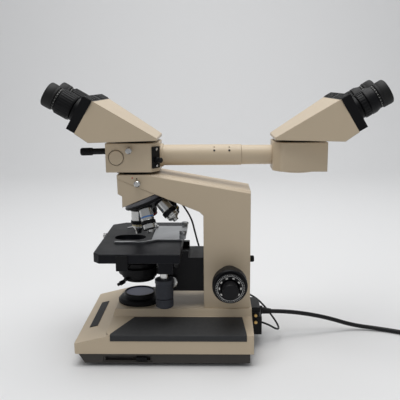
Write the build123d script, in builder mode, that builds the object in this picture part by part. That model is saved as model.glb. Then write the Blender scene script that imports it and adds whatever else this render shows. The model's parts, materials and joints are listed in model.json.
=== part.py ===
from build123d import *
import os
from math import cos, pi, radians, sin, tan

# Laboratory light microscope with a bridge that carries a second, face to face
# binocular head.  Millimetres, +Z up, table at Z = 0.  The operator sits at -X.
# The origin is below the middle of the span between the two head axes.

os.makedirs("parts", exist_ok=True)

# ---------------------------------------------------------------- overall sizes
HEAD_SPAN = 230.0          # between the two vertical head axes
BASE_LENGTH = 246.0
BASE_WIDTH = 196.0
BASE_FRONT = 80.0          # main optical axis to the front edge of the base
FOOT_H = 4.5
SKIRT_H = 14.5
BASE_EDGE_H = 14.5         # vertical front edge of the casting
BASE_REAR_H = 26.5         # height of the casting's side face behind the front slope
FRONT_SLOPE_L = 49.0
HUMP_TOP_H = 42.0          # hump above the bottom of the casting
HUMP_W = 76.0
HUMP_FOOT_W = 84.0
SHOULDER_RISE = 5.5
WALL = 4.0

ARM_T = 70.0
ARM_D = 66.5               # fore and aft depth of the column
ARM_REACH = 97.0           # main axis to the column's front face
ARM_TOP_FRONT = 195.5      # above the hump
ARM_TOP_REAR = 171.5

TUBE_D = 29.6
TUBE2_D = 27.8
BOX_H = 40.2
BOX_W = 70.0
BOX_BACK = 38.5            # box behind its axis, away from the tube
BOX_FRONT = 35.5

HEAD_TILT = 30.0
IPD = 64.0
EYE_D = 36.0
EYE_LEN = 51.0

COARSE_D = 48.0
COARSE_LEN = 19.0
HUB_R = 17.0
HUB_L = 25.5
FINE_D = 22.0
SCALE_D = 40.0

TURRET_TILT = 22.5
SEAT_R = 21.5
OBJECTIVES = 5
OBJ_SEAT_Z = 199.0
OBJ_REACH = 34.3

STAGE_TOP = 158.0
STAGE_T = 12.5
STAGE_X = 117.9
STAGE_Y = 186.0
COLLAR_D = 64.0
FILTER_D = 41.0

CORD_D = 6.4
CORD_LENGTH = 1800.0
CABLE_D = 2.8

# ------------------------------------------------------------------- clearances
RUN = 0.06                 # radial clearance of a running fit
SLIDE = 0.25               # between sliding faces
AIR = 0.5                  # between parts that pass each other

# ----------------------------------------------------------------- derived datums
AX = -HEAD_SPAN / 2
BX = HEAD_SPAN / 2
X0 = AX - BASE_FRONT
X1 = X0 + BASE_LENGTH
Z_SKIRT = FOOT_H
Z_BASE = Z_SKIRT + SKIRT_H
Z_EDGE = Z_BASE + BASE_EDGE_H
Z_SIDE = Z_BASE + BASE_REAR_H
Z_HUMP = Z_BASE + HUMP_TOP_H
HUMP_X = AX - COLLAR_D / 2 + 0.5
HALF_W = BASE_WIDTH / 2
COLUMN_X = AX + ARM_REACH
COLUMN_BACK = COLUMN_X + ARM_D
ARM_TOP = Z_HUMP + ARM_TOP_FRONT
ARM_BACK_TOP = Z_HUMP + ARM_TOP_REAR
FLANGE_H = 3.5
BOX_Z = ARM_TOP + 0.3 + FLANGE_H
TUBE_Z = BOX_Z + BOX_H / 2
BOX_TOP = BOX_Z + BOX_H
HEAD_GAP = 4.0
HEAD_Z = BOX_TOP + HEAD_GAP


def save(part, name):
    """Label a finished part and write its STEP file."""
    part.label = name
    export_step(part, f"parts/{name}.step")


def axial_plane(origin, direction):
    """Plane whose local Y runs along a direction and whose local X is a radius."""
    d = Vector(*direction).normalized()
    side = Vector(0, 1, 0) if abs(d.Y) < 0.9 else Vector(1, 0, 0)
    r = side.cross(d).normalized()
    return Plane(origin=origin, x_dir=r, z_dir=r.cross(d))


def turned(points, origin, direction, mode=Mode.ADD):
    """Revolve a closed (radius, height) outline about an axis, in the open part."""
    with BuildSketch(axial_plane(origin, direction)) as outline:
        with BuildLine():
            Polyline(*points, close=True)
        make_face()
    revolve(outline.sketch, axis=Axis(origin, direction), mode=mode)


def rod(origin, direction, radius, length, mode=Mode.ADD):
    """Straight round bar from an origin along a direction, in the open part."""
    z = Vector(*direction).normalized()
    with BuildSketch(Plane(origin=origin, z_dir=z)) as disc:
        Circle(radius)
    extrude(disc.sketch, amount=length, mode=mode)


def block(x0, x1, y0, y1, z0, z1, mode=Mode.ADD):
    """Rectangular block between limits, in the open part."""
    with BuildSketch(Plane.XY.offset(z0)) as plan:
        with Locations(((x0 + x1) / 2, (y0 + y1) / 2)):
            Rectangle(x1 - x0, y1 - y0)
    extrude(plan.sketch, amount=z1 - z0, mode=mode)


def profile_xz(points, y0, y1, mode=Mode.ADD):
    """Extrude an outline in X and Z between two Y values, in the open part."""
    with BuildSketch(Plane(origin=(0, y1, 0), x_dir=(1, 0, 0), z_dir=(0, -1, 0))) as side:
        with BuildLine():
            Polyline(*points, close=True)
        make_face()
    extrude(side.sketch, amount=y1 - y0, dir=(0, -1, 0), mode=mode)


def profile_yz(points, x0, x1, mode=Mode.ADD):
    """Extrude an outline in Y and Z between two X values, in the open part."""
    with BuildSketch(Plane(origin=(x0, 0, 0), x_dir=(0, 1, 0), z_dir=(1, 0, 0))) as section:
        with BuildLine():
            Polyline(*points, close=True)
        make_face()
    extrude(section.sketch, amount=x1 - x0, dir=(1, 0, 0), mode=mode)


# ============================================================================ base
PAD_LIP = 7.6              # height of the pad's outer lip
PAD_T = 5.0
PAD_PROUD = 0.8
PAD_X0 = X0 + 50.0
PAD_X1 = X1 - 10.0
PAD_TAPER = 27.0           # how far the pad's front edge leans back
PAD_INNER = HUMP_FOOT_W / 2 + 3.5


def shoulder_z(y):
    """Height of the sloping shoulder at a distance from the middle."""
    share = (HALF_W - abs(y)) / (HALF_W - HUMP_FOOT_W / 2)
    return Z_SIDE + SHOULDER_RISE * share


def shoulder_outline():
    """Closed outline of the casting's cross-section above its bottom."""
    half = HUMP_FOOT_W / 2
    return [
        (-HALF_W, Z_BASE), (HALF_W, Z_BASE), (HALF_W, Z_SIDE),
        (half, shoulder_z(half)), (HUMP_W / 2, Z_HUMP),
        (-HUMP_W / 2, Z_HUMP), (-half, shoulder_z(half)), (-HALF_W, Z_SIDE),
    ]


def pad_plan(grow):
    """Plan outline of the near pad, as corner points."""
    y_out = -HALF_W - 3.0
    y_in = -PAD_INNER + grow
    return [
        (PAD_X0 - grow, y_out), (PAD_X0 - grow, -HALF_W + 4.0),
        (PAD_X0 + PAD_TAPER - grow, y_in), (PAD_X1 - 4.0 + grow, y_in),
        (PAD_X1 + grow, -HALF_W + 4.0), (PAD_X1 + grow, y_out),
    ]


def pad_section(sign, out, top, inner):
    """Cross-section outline that a pad or its pocket takes out of the shoulder."""
    zb = Z_SIDE - PAD_LIP
    edge = HALF_W - PAD_T
    return [
        (sign * (HALF_W + out), zb), (sign * (HALF_W + out), shoulder_z(HALF_W) + top),
        (sign * PAD_INNER, shoulder_z(PAD_INNER) + top),
        (sign * PAD_INNER, shoulder_z(PAD_INNER) - inner),
        (sign * edge, shoulder_z(edge) - inner), (sign * edge, zb),
    ]


def pad_body(out, top):
    """Pad shape on the near side, or its pocket when it is only let in."""
    with BuildPart() as body:
        with BuildSketch(Plane.XY.offset(Z_BASE)):
            with BuildLine():
                Polyline(*pad_plan(0.0), close=True)
            make_face()
        extrude(amount=HUMP_TOP_H)
        profile_yz(pad_section(-1, out, top, PAD_T), X0, X1, Mode.INTERSECT)
    return body.part


pocket = pad_body(4.0, 6.0)
with BuildPart() as base:
    profile_yz(shoulder_outline(), X0, X1)
    # front slope and the steep front of the hump
    profile_xz([(X0 - 1, Z_EDGE - 0.245), (X0 + FRONT_SLOPE_L, Z_SIDE),
                (HUMP_X - 5.0, Z_SIDE + 0.6), (HUMP_X, Z_HUMP), (HUMP_X, Z_HUMP + 2),
                (X0 - 1, Z_HUMP + 2)], -HALF_W - 1, HALF_W + 1, Mode.SUBTRACT)
    fillet(base.edges().filter_by(Axis.Z).group_by(Axis.X)[0], 3.0)
    add(pocket, mode=Mode.SUBTRACT)
    add(pocket.mirror(Plane.XZ), mode=Mode.SUBTRACT)
    # hollow underside, open to the tray
    block(X0 + 10, X1 - WALL, -HALF_W + PAD_T + WALL, HALF_W - PAD_T - WALL,
          Z_BASE, Z_EDGE - WALL, Mode.SUBTRACT)
    block(HUMP_X + WALL + 2, X1 - WALL, -HUMP_W / 2 + WALL, HUMP_W / 2 - WALL,
          Z_BASE, Z_HUMP - WALL, Mode.SUBTRACT)
    # light path and the seat of the collar
    rod((AX, 0, Z_BASE), (0, 0, 1), 17.0, HUMP_TOP_H, Mode.SUBTRACT)
save(base.part, "base_casting")

near_pad = pad_body(PAD_PROUD, PAD_PROUD)
with BuildPart() as pads:
    add(near_pad)
    fillet(pads.edges().filter_by(Axis.X).group_by(Axis.Y)[0].sort_by(Axis.Z)[-1:], 1.6)
    add(pads.part.mirror(Plane.XZ))
save(pads.part, "armrest_pads")

SKIRT_IN = 3.0
SKIRT_BEVEL = 9.0
SKIRT_X1 = X1 - 5.0
SLOT_X0 = AX - 41.0
SLOT_X1 = AX + 27.0
SLOT_Z0 = Z_SKIRT + 3.2
SLOT_Z1 = Z_SKIRT + 9.2
SKIRT_Y = HALF_W - SKIRT_IN
with BuildPart() as skirt:
    profile_xz([(X0 + 4.5, Z_BASE), (X0 + 4.5 + SKIRT_BEVEL, Z_SKIRT),
                (SKIRT_X1, Z_SKIRT), (SKIRT_X1, Z_BASE)], -SKIRT_Y, SKIRT_Y)
    block(X0 + 20, SKIRT_X1 - 3, -SKIRT_Y + 9, SKIRT_Y - 9, Z_SKIRT + 3, Z_BASE, Mode.SUBTRACT)
    # guide channel of the lamp intensity slider, near side
    block(SLOT_X0, SLOT_X1, -SKIRT_Y, -SKIRT_Y + 1.2, SLOT_Z0 - 1.5, SLOT_Z1 + 1.5, Mode.SUBTRACT)
    block(SLOT_X0 + 3, SLOT_X1 - 3, -SKIRT_Y, -SKIRT_Y + 7, SLOT_Z0, SLOT_Z1, Mode.SUBTRACT)
save(skirt.part, "base_skirt")

SLIDER_W = 15.0
SLIDER_X = AX + 12.0
with BuildPart() as slider:
    block(SLIDER_X - SLIDER_W / 2, SLIDER_X + SLIDER_W / 2, -SKIRT_Y - 1.6, -SKIRT_Y + 6.5,
          SLOT_Z0 + SLIDE, SLOT_Z1 - SLIDE)
    for i in range(4):
        rx = SLIDER_X - 4.5 + 3.0 * i
        block(rx, rx + 1.2, -SKIRT_Y - 2.4, -SKIRT_Y - 1.6, SLOT_Z0 + SLIDE, SLOT_Z1 - SLIDE)
save(slider.part, "light_slider")

with BuildPart() as feet:
    for fx in (X0 + 34, X1 - 26):
        for fy in (-HALF_W + 24, HALF_W - 24):
            turned([(0, 0), (8.5, 0), (10, 1.5), (10, FOOT_H), (0, FOOT_H)], (fx, fy, 0), (0, 0, 1))
save(feet.part, "rubber_feet")

SLOPE = (Z_SIDE - Z_EDGE) / FRONT_SLOPE_L
PLATE_W = 12.0
PLATE_L = 98.0
SLOPE_LEN = (1 + SLOPE ** 2) ** 0.5
PLATE_FRAME = Plane(origin=(X0 + 18.0, 0, Z_EDGE + 18.0 * SLOPE),
                    x_dir=(1 / SLOPE_LEN, 0, SLOPE / SLOPE_LEN),
                    z_dir=(-SLOPE / SLOPE_LEN, 0, 1 / SLOPE_LEN))
with BuildPart() as front_plate:
    with BuildSketch(PLATE_FRAME):
        Rectangle(PLATE_W, PLATE_L)
    extrude(amount=0.8)
save(front_plate.part, "front_plate")

# ------------------------------------------------------------- light exit and lamp
COLLAR_H = 11.0
RIM_H = 2.8
FILTER_T = 2.0
with BuildPart() as collar:
    turned([(16.9, -3.0), (16.9, 0), (COLLAR_D / 2, 0), (COLLAR_D / 2, 3.0),
            (COLLAR_D / 2 - 2.5, 6.5), (COLLAR_D / 2 - 8, 8.0), (FILTER_D / 2 + 2.6, COLLAR_H),
            (FILTER_D / 2 + 2.6, COLLAR_H + RIM_H), (FILTER_D / 2 + 0.1, COLLAR_H + RIM_H),
            (FILTER_D / 2 + 0.1, COLLAR_H), (14.0, COLLAR_H), (14.0, -3.0)],
           (AX, 0, Z_HUMP), (0, 0, 1))
save(collar.part, "field_lens_collar")
with BuildPart() as field_lens:
    turned([(0, 1.0), (13.9, 1.0), (13.9, 5.0), (9.0, 7.6), (0, 8.6)], (AX, 0, Z_HUMP), (0, 0, 1))
with BuildPart() as blue_filter:
    turned([(0, 0), (FILTER_D / 2, 0), (FILTER_D / 2, FILTER_T), (0, FILTER_T)],
           (AX, 0, Z_HUMP + COLLAR_H), (0, 0, 1))
save(Compound(children=[blue_filter.part, field_lens.part]), "filter_and_lens")

LAMP_Z = Z_BASE + 17.0
with BuildPart() as lamp:
    # socket carrier, bulb, collector tube and the 45 degree mirror under the axis
    block(AX + 95, X1 - WALL, -15, 15, Z_BASE + 3, LAMP_Z + 13)
    rod((AX + 95, 0, LAMP_Z), (-1, 0, 0), 5.5, 18)
with BuildPart() as collector:
    rod((AX + 66, 0, LAMP_Z), (-1, 0, 0), 14.0, 38)
    rod((AX + 67, 0, LAMP_Z), (-1, 0, 0), 11.5, 40, Mode.SUBTRACT)
    block(AX + 30, AX + 64, -6, 6, Z_BASE - 0.0, LAMP_Z - 12.0)
with BuildPart() as mirror_cell:
    profile_xz([(AX - 14, Z_BASE), (AX + 14, Z_BASE), (AX + 14, LAMP_Z + 12),
                (AX + 11, LAMP_Z + 12), (AX - 14, LAMP_Z - 13)], -13, 13)
lamp_set = Compound(children=[lamp.part, collector.part, mirror_cell.part])
save(lamp_set, "lamp_unit")

# ============================================================================ arm
TURRET_DIR = (sin(radians(TURRET_TILT)), 0, -cos(radians(TURRET_TILT)))
SEAT_C = Vector(AX + SEAT_R * cos(radians(TURRET_TILT)), 0,
                OBJ_SEAT_Z + SEAT_R * sin(radians(TURRET_TILT)))
TURRET_UP = Vector(-TURRET_DIR[0], 0, -TURRET_DIR[2])
TURRET_D = 73.0
GRIP_D = 70.4
GRIP_TOP = 16.2            # grip ring's top above the seat circle
GRIP_BOTTOM = 10.5
PIVOT_R = 7.0


def turret_point(u, n):
    """World X and Z of a point across the turret (u) and up its axis (n)."""
    ct, st = cos(radians(TURRET_TILT)), sin(radians(TURRET_TILT))
    return (SEAT_C.X + u * ct - n * st, SEAT_C.Z + u * st + n * ct)


ARM_HALF = ARM_T / 2
SPIGOT_R = 20.0
SPIGOT_L = 7.0
UNDER_A = (AX + 43.0, ARM_TOP - 33.0)      # underside of the arm, two points
UNDER_B = (AX - 16.5, ARM_TOP - 8.0)
MOUNT_FRONT = AX - 23.5
KNOB_X = COLUMN_X + 36.6
KNOB_Z = Z_HUMP + 47.7
CARRIER_HALF = 31.0
RAIL_T = 4.0
RAIL_HALF = 18.0


def under_z(x):
    """Height of the arm's sloping underside."""
    return UNDER_A[1] + (x - UNDER_A[0]) * (UNDER_B[1] - UNDER_A[1]) / (UNDER_B[0] - UNDER_A[0])


with BuildPart() as arm:
    profile_xz([(COLUMN_X, Z_HUMP), (COLUMN_X, ARM_TOP - 58.3), (COLUMN_X - 5.7, ARM_TOP - 52.6),
                UNDER_A, UNDER_B, (MOUNT_FRONT, under_z(MOUNT_FRONT)), (MOUNT_FRONT, ARM_TOP),
                (AX + 33.0, ARM_TOP), (COLUMN_BACK, ARM_BACK_TOP), (COLUMN_BACK, Z_HUMP)],
               -ARM_HALF, ARM_HALF)
    top_edges = arm.edges().filter_by(
        lambda e: abs(abs(e.center().Y) - ARM_HALF) < 0.1
        and e.center().Z > ARM_BACK_TOP and e.center().X > AX + 40)
    chamfer(top_edges, 3.2)
    # hollow column, closed at the top, open at the foot
    profile_xz([(COLUMN_X + 7, Z_HUMP), (COLUMN_X + 7, ARM_TOP - 60), (COLUMN_BACK - 7, ARM_TOP - 60),
                (COLUMN_BACK - 7, Z_HUMP)], -ARM_HALF + 7, ARM_HALF - 7, Mode.SUBTRACT)
    # pocket in which the turret turns
    px, pz = turret_point(0, GRIP_TOP + AIR)
    rod((px, 0, pz), TURRET_DIR, TURRET_D / 2 + 0.9, 60, Mode.SUBTRACT)
    # seat for the attachment's spigot and the light path
    rod((AX, 0, ARM_TOP - SPIGOT_L - 1), (0, 0, 1), SPIGOT_R + RUN, SPIGOT_L + 2, Mode.SUBTRACT)
    rod((AX, 0, ARM_TOP - 60), (0, 0, 1), 9.0, 61, Mode.SUBTRACT)
    # bearings of the focus shaft, the clamp screws and the rear knob
    rod((KNOB_X, -ARM_HALF - 1, KNOB_Z), (0, 1, 0), 9.0 + RUN, ARM_T + 2, Mode.SUBTRACT)
    rod((AX + 5.5, -ARM_HALF - 1, ARM_TOP - 11.5), (0, 1, 0), 2.5 + RUN, 9.0, Mode.SUBTRACT)
    rod((COLUMN_BACK + 1, 0, Z_HUMP + 64), (-1, 0, 0), 2.5 + RUN, 9.0, Mode.SUBTRACT)
    # slot for the carriage's rail
    block(COLUMN_X - 1, COLUMN_X + RAIL_T + AIR, -RAIL_HALF - SLIDE, RAIL_HALF + SLIDE,
          Z_HUMP + 4, ARM_TOP - 78, Mode.SUBTRACT)
save(arm.part, "arm_casting")

with BuildPart() as nose:
    mx, mz = turret_point(-34.5, GRIP_TOP + AIR)
    # where the arm's underside meets the plane above the turret
    k = tan(radians(TURRET_TILT))
    cx, cz = turret_point(0, GRIP_TOP + AIR)
    slope_u = (UNDER_B[1] - UNDER_A[1]) / (UNDER_B[0] - UNDER_A[0])
    tip_x = (UNDER_A[1] - slope_u * UNDER_A[0] - cz + k * cx) / (k - slope_u)
    profile_xz([(MOUNT_FRONT, under_z(MOUNT_FRONT)), (MOUNT_FRONT + 0.4, ARM_TOP - 27),
                (MOUNT_FRONT + 6.4, ARM_TOP - 30.4), (mx + 1.0, mz + 0.414),
                (tip_x, under_z(tip_x))], -ARM_HALF + 1.0, ARM_HALF - 1.0)
    rod((cx, 0, cz), TURRET_DIR, PIVOT_R, GRIP_TOP + AIR + 4.0)
    rod((AX, 0, ARM_TOP - 70), (0, 0, 1), 9.0, 75, Mode.SUBTRACT)
    rod((AX, 0, ARM_TOP - SPIGOT_L - 1), (0, 0, 1), SPIGOT_R + RUN, SPIGOT_L + 2, Mode.SUBTRACT)
save(nose.part, "nosepiece_mount")


def thumb_screw(x, y, z, direction, shank, head_r, head_l):
    """Knurled clamp screw whose shank runs into the casting."""
    with BuildPart() as screw:
        turned([(0, -shank), (2.5, -shank), (2.5, 1.6), (head_r - 0.6, 1.6), (head_r, 2.2),
                (head_r, head_l - 1.0), (head_r - 1.0, head_l), (0, head_l)], (x, y, z), direction)
    return screw.part


save(thumb_screw(AX + 5.5, -ARM_HALF, ARM_TOP - 11.5, (0, -1, 0), 7.0, 4.4, 9.0), "arm_clamp_screw")
save(thumb_screw(COLUMN_BACK, 0, Z_HUMP + 64, (1, 0, 0), 7.0, 4.6, 7.5), "rear_lock_knob")

# ============================================================== focus knobs and stage
SHAFT_R = 9.0
FINE_SHAFT_R = 4.5
RIM_END = HUB_L + COARSE_LEN
SCALE_END = RIM_END + 6.5


def mirrored_y(part):
    """The same solid on the far side."""
    return part.mirror(Plane.XZ)


with BuildPart() as coarse_near:
    turned([(FINE_SHAFT_R + RUN, 1.0), (HUB_R, 1.0), (HUB_R, HUB_L), (COARSE_D / 2 - 1.2, HUB_L),
            (COARSE_D / 2, HUB_L + 1.2), (COARSE_D / 2, RIM_END - 1.2), (COARSE_D / 2 - 1.2, RIM_END),
            (SCALE_D / 2 - 1.5, RIM_END), (SCALE_D / 2 - 1.5, RIM_END + 2.0), (SCALE_D / 2, RIM_END + 2.6),
            (SCALE_D / 2, SCALE_END), (FINE_D / 2 + 5.0, SCALE_END), (FINE_D / 2 + 4.0, SCALE_END - 3.0),
            (FINE_SHAFT_R + RUN, SCALE_END - 3.0)], (KNOB_X, -ARM_HALF, KNOB_Z), (0, -1, 0))
with BuildPart() as coarse:
    add(coarse_near.part)
    add(mirrored_y(coarse_near.part))
    rod((KNOB_X, -ARM_HALF - 1.5, KNOB_Z), (0, 1, 0), SHAFT_R, ARM_T + 3.0)
    rod((KNOB_X, -ARM_HALF - 5, KNOB_Z), (0, 1, 0), FINE_SHAFT_R + RUN, ARM_T + 10, Mode.SUBTRACT)
save(coarse.part, "coarse_knobs")

FINE_LEN = 19.0
with BuildPart() as fine:
    half_l = ARM_HALF + SCALE_END - 2.5
    rod((KNOB_X, -half_l, KNOB_Z), (0, 1, 0), FINE_SHAFT_R, 2 * half_l)
    for s in (-1, 1):
        turned([(0, 0), (FINE_D / 2 - 0.8, 0), (FINE_D / 2, 0.8), (FINE_D / 2, FINE_LEN - 1.2),
                (FINE_D / 2 - 1.2, FINE_LEN), (0, FINE_LEN)], (KNOB_X, s * half_l, KNOB_Z), (0, s, 0))
save(fine.part, "fine_knobs")

STAGE_X1 = AX + 66.4
STAGE_X0 = STAGE_X1 - STAGE_X
STAGE_Y0 = -91.0
STAGE_Y1 = STAGE_Y0 + STAGE_Y
CARRIER_TOP = STAGE_TOP - STAGE_T - SLIDE
CARRIER_BOTTOM = Z_HUMP + 25.0
BLOCK_TOP = Z_HUMP + 74.8
CLAW_X = AX - 19.3
CLAW_W = 15.7
CARRIER_X0 = COLUMN_X - 36.5
KNOB_Y = -65.0
BRACKET_X = CARRIER_X0 - 20.0
COND_KNOB = (CARRIER_X0 - 9.2, Z_HUMP + 41.5)
COND_KNOB_R = 8.0
with BuildPart() as carriage:
    block(CARRIER_X0, COLUMN_X - SLIDE, -CARRIER_HALF, CARRIER_HALF, CARRIER_BOTTOM, BLOCK_TOP)
    # rail that runs in the column's slot
    block(COLUMN_X - SLIDE, COLUMN_X + RAIL_T, -RAIL_HALF, RAIL_HALF, CARRIER_BOTTOM + 2, BLOCK_TOP - 2)
    # rack bracket of the condenser
    block(BRACKET_X, CARRIER_X0, -CARRIER_HALF, CARRIER_HALF, CARRIER_BOTTOM, CARRIER_BOTTOM + 35)
    # two arms that carry the stage, left and right of the condenser
    for y0 in (-CARRIER_HALF, CARRIER_HALF - 9):
        block(AX - 34, CARRIER_X0 + 14, y0, y0 + 9, BLOCK_TOP - 2, CARRIER_TOP)
    # guide claw that reaches round the near edge
    block(CLAW_X, CLAW_X + CLAW_W, STAGE_Y0 - 2.3, -CARRIER_HALF + 9, BLOCK_TOP - 0.3, CARRIER_TOP)
    block(CLAW_X, CLAW_X + CLAW_W, STAGE_Y0 - 2.3, STAGE_Y0 - AIR, BLOCK_TOP - 0.3, STAGE_TOP - 2)
    rod((COND_KNOB[0], -CARRIER_HALF - 1, COND_KNOB[1]), (0, 1, 0), 3.0 + RUN, 2 * CARRIER_HALF + 2,
        Mode.SUBTRACT)
    # dovetail groove in which the condenser carrier runs
    block(BRACKET_X - 1, BRACKET_X + 4, -12 - SLIDE, 12 + SLIDE, CARRIER_BOTTOM - 1,
          CARRIER_BOTTOM + 36, Mode.SUBTRACT)
save(carriage.part, "stage_carrier")

KNOB_PX = AX + 42.8
OPENING_L = 46.0
OPENING_W = 30.0
OPENING_X = AX - 12.0
with BuildPart() as stage:
    with BuildSketch(Plane.XY.offset(STAGE_TOP - STAGE_T)):
        with BuildLine():
            Polyline((STAGE_X0, STAGE_Y0 + 10), (STAGE_X0 + 9, STAGE_Y0), (STAGE_X1, STAGE_Y0),
                     (STAGE_X1, STAGE_Y1), (STAGE_X0 + 20, STAGE_Y1), (STAGE_X0, STAGE_Y1 - 14),
                     close=True)
        make_face()
    extrude(amount=STAGE_T)
    fillet(stage.edges().filter_by(Axis.Z).group_by(Axis.X)[0], 6.0)
    chamfer(stage.faces().sort_by(Axis.Z)[-1].edges(), 0.8)
    with BuildSketch(Plane.XY.offset(STAGE_TOP - STAGE_T)):
        with Locations((OPENING_X, 0)):
            SlotOverall(OPENING_L, OPENING_W)
    extrude(amount=STAGE_T, mode=Mode.SUBTRACT)
    # block that hangs from the near edge and carries the coaxial knobs
    block(KNOB_PX - 7, KNOB_PX + 13, KNOB_Y - 12, KNOB_Y + 12, STAGE_TOP - STAGE_T - 19.5,
          STAGE_TOP - STAGE_T)
    rod((KNOB_PX, KNOB_Y, STAGE_TOP - STAGE_T - 20), (0, 0, 1), 5.0 + RUN, 16, Mode.SUBTRACT)
save(stage.part, "stage_plate")

SHAFT_TOP = STAGE_TOP - STAGE_T - 6.0
UPPER_TOP = Z_HUMP + 54.5
UPPER_BOTTOM = Z_HUMP + 27.5
LOWER_BOTTOM = Z_HUMP + 14.0
STAGE_KNOB_R = 12.2
with BuildPart() as y_knob:
    turned([(3.0 + RUN, UPPER_BOTTOM), (STAGE_KNOB_R - 0.8, UPPER_BOTTOM), (STAGE_KNOB_R, UPPER_BOTTOM + 0.8),
            (STAGE_KNOB_R, UPPER_TOP - 6), (STAGE_KNOB_R + 0.8, UPPER_TOP - 5), (STAGE_KNOB_R + 0.8, UPPER_TOP),
            (5.0, UPPER_TOP + 1.0), (5.0, SHAFT_TOP), (3.0 + RUN, SHAFT_TOP)], (KNOB_PX, KNOB_Y, 0), (0, 0, 1))
save(y_knob.part, "stage_y_knob")
with BuildPart() as x_knob:
    turned([(0, LOWER_BOTTOM), (STAGE_KNOB_R - 2.0, LOWER_BOTTOM), (STAGE_KNOB_R, LOWER_BOTTOM + 1.5),
            (STAGE_KNOB_R, UPPER_BOTTOM - AIR), (3.0, UPPER_BOTTOM - AIR), (3.0, SHAFT_TOP),
            (0, SHAFT_TOP)], (KNOB_PX, KNOB_Y, 0), (0, 0, 1))
save(x_knob.part, "stage_x_knob")

# specimen holder: L-shaped plate, bar with two clamp screws, fixed near finger
HOLD_T = 2.4
HZ = STAGE_TOP + 0.3
FINGER_NEAR = -31.0
SLIDE_LEN = 76.0
PIN_X = AX + 20.0
PIN_Y = FINGER_NEAR + SLIDE_LEN + 8.0
with BuildPart() as holder:
    with BuildSketch(Plane.XY.offset(HZ)):
        with BuildLine():
            Polyline((AX - 30, FINGER_NEAR), (AX - 30, FINGER_NEAR - 4.5), (AX + 12, FINGER_NEAR - 5),
                     (AX + 30, FINGER_NEAR + 8), (AX + 66, FINGER_NEAR + 8),
                     (AX + 66, PIN_Y + 6), (AX + 14, PIN_Y + 6), (AX + 14, PIN_Y - 9),
                     (AX + 22, PIN_Y - 14), (AX + 22, FINGER_NEAR + 8), (AX + 14, FINGER_NEAR), close=True)
        make_face()
    extrude(amount=HOLD_T)
    block(AX + 62, AX + 71, FINGER_NEAR + 10, PIN_Y + 4, HZ + HOLD_T, HZ + HOLD_T + 5)
    rod((PIN_X, PIN_Y, HZ + HOLD_T), (0, 0, 1), 2.0, 3.4)
with BuildPart() as holder_screws:
    for hy in (FINGER_NEAR + 20, PIN_Y - 8):
        turned([(0, 0), (5.0, 0), (5.0, 4.0), (4.2, 5.0), (0, 5.0)], (AX + 66.5, hy, HZ + HOLD_T + 5), (0, 0, 1))
save(Compound(children=[holder.part, holder_screws.part]), "specimen_holder")

with BuildPart() as finger:
    fz = HZ + HOLD_T + 0.3
    with BuildSketch(Plane.XY.offset(fz)):
        with BuildLine():
            Polyline((PIN_X + 5, PIN_Y + 4.5), (PIN_X - 8, PIN_Y + 5.5), (PIN_X - 34, PIN_Y - 1.0),
                     (PIN_X - 43, PIN_Y - 12), (PIN_X - 40.5, PIN_Y - 13.5), (PIN_X - 31, PIN_Y - 5),
                     (PIN_X - 6, PIN_Y - 3.5), (PIN_X + 5, PIN_Y - 4.0), close=True)
        make_face()
    extrude(amount=1.8)
    rod((PIN_X, PIN_Y, fz - 1), (0, 0, 1), 2.0 + RUN, 4, Mode.SUBTRACT)
save(finger.part, "holder_finger")

with BuildPart() as stop_screw:
    turned([(0, -7.0), (1.6, -7.0), (1.6, 2.0), (3.4, 2.0), (3.4, 6.5), (0, 6.5)],
           (STAGE_X0, 30, STAGE_TOP - 5), (-1, 0, 0))
    block(STAGE_X0 - 1, STAGE_X0 + 8, 20, 40, STAGE_TOP - STAGE_T - 1, STAGE_TOP + 1, Mode.SUBTRACT)
save(stop_screw.part, "stage_screw")

# condenser
COND_TOP = STAGE_TOP - STAGE_T - 3.0
COND_R = 25.7
COND_BOTTOM = Z_HUMP + 37.3
FORK_Z0 = Z_HUMP + 45.0
FORK_Z1 = Z_HUMP + 55.0
with BuildPart() as cond_carrier:
    block(AX + 8, BRACKET_X - SLIDE, -15, 15, FORK_Z0, FORK_Z1)
    block(BRACKET_X - 6, BRACKET_X - SLIDE, -24, 24, FORK_Z0, FORK_Z1)
    block(BRACKET_X - SLIDE, BRACKET_X + 3.5, -12, 12, FORK_Z0, FORK_Z1)
    rod((AX, 0, FORK_Z0), (0, 0, 1), COND_R + 5.0, FORK_Z1 - FORK_Z0)
    rod((AX, 0, FORK_Z0 - 1), (0, 0, 1), COND_R - 4.0, FORK_Z1 - FORK_Z0 + 2, Mode.SUBTRACT)
save(cond_carrier.part, "condenser_carrier")
with BuildPart() as condenser:
    turned([(12, COND_BOTTOM), (COND_R - 3, COND_BOTTOM), (COND_R, COND_BOTTOM + 2.0),
            (COND_R, FORK_Z0 - 0.3), (COND_R - 4.3, FORK_Z0 - 0.3), (COND_R - 4.3, FORK_Z1 + 0.3),
            (COND_R, FORK_Z1 + 0.3), (COND_R, FORK_Z1 + 7), (COND_R - 3, FORK_Z1 + 9),
            (18, FORK_Z1 + 9), (15, COND_TOP - 3), (13, COND_TOP), (9, COND_TOP), (9, COND_BOTTOM + 8),
            (12, COND_BOTTOM + 8)], (AX, 0, 0), (0, 0, 1))
with BuildPart() as cond_lens:
    turned([(0, COND_TOP - 8), (8.9, COND_TOP - 8), (8.9, COND_TOP - 1.4), (6, COND_TOP - 0.4), (0, COND_TOP)],
           (AX, 0, 0), (0, 0, 1))
with BuildPart() as cond_screw:
    cs = COND_R + 0.0
    turned([(0, 0), (1.5, 0), (1.5, 5), (2.8, 5), (2.8, 9), (0, 9)],
           (AX - cs * 0.5, -cs * 0.866, COND_BOTTOM + 4), (-0.5, -0.866, 0))
save(Compound(children=[condenser.part, cond_lens.part, cond_screw.part]), "condenser_body")

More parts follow.
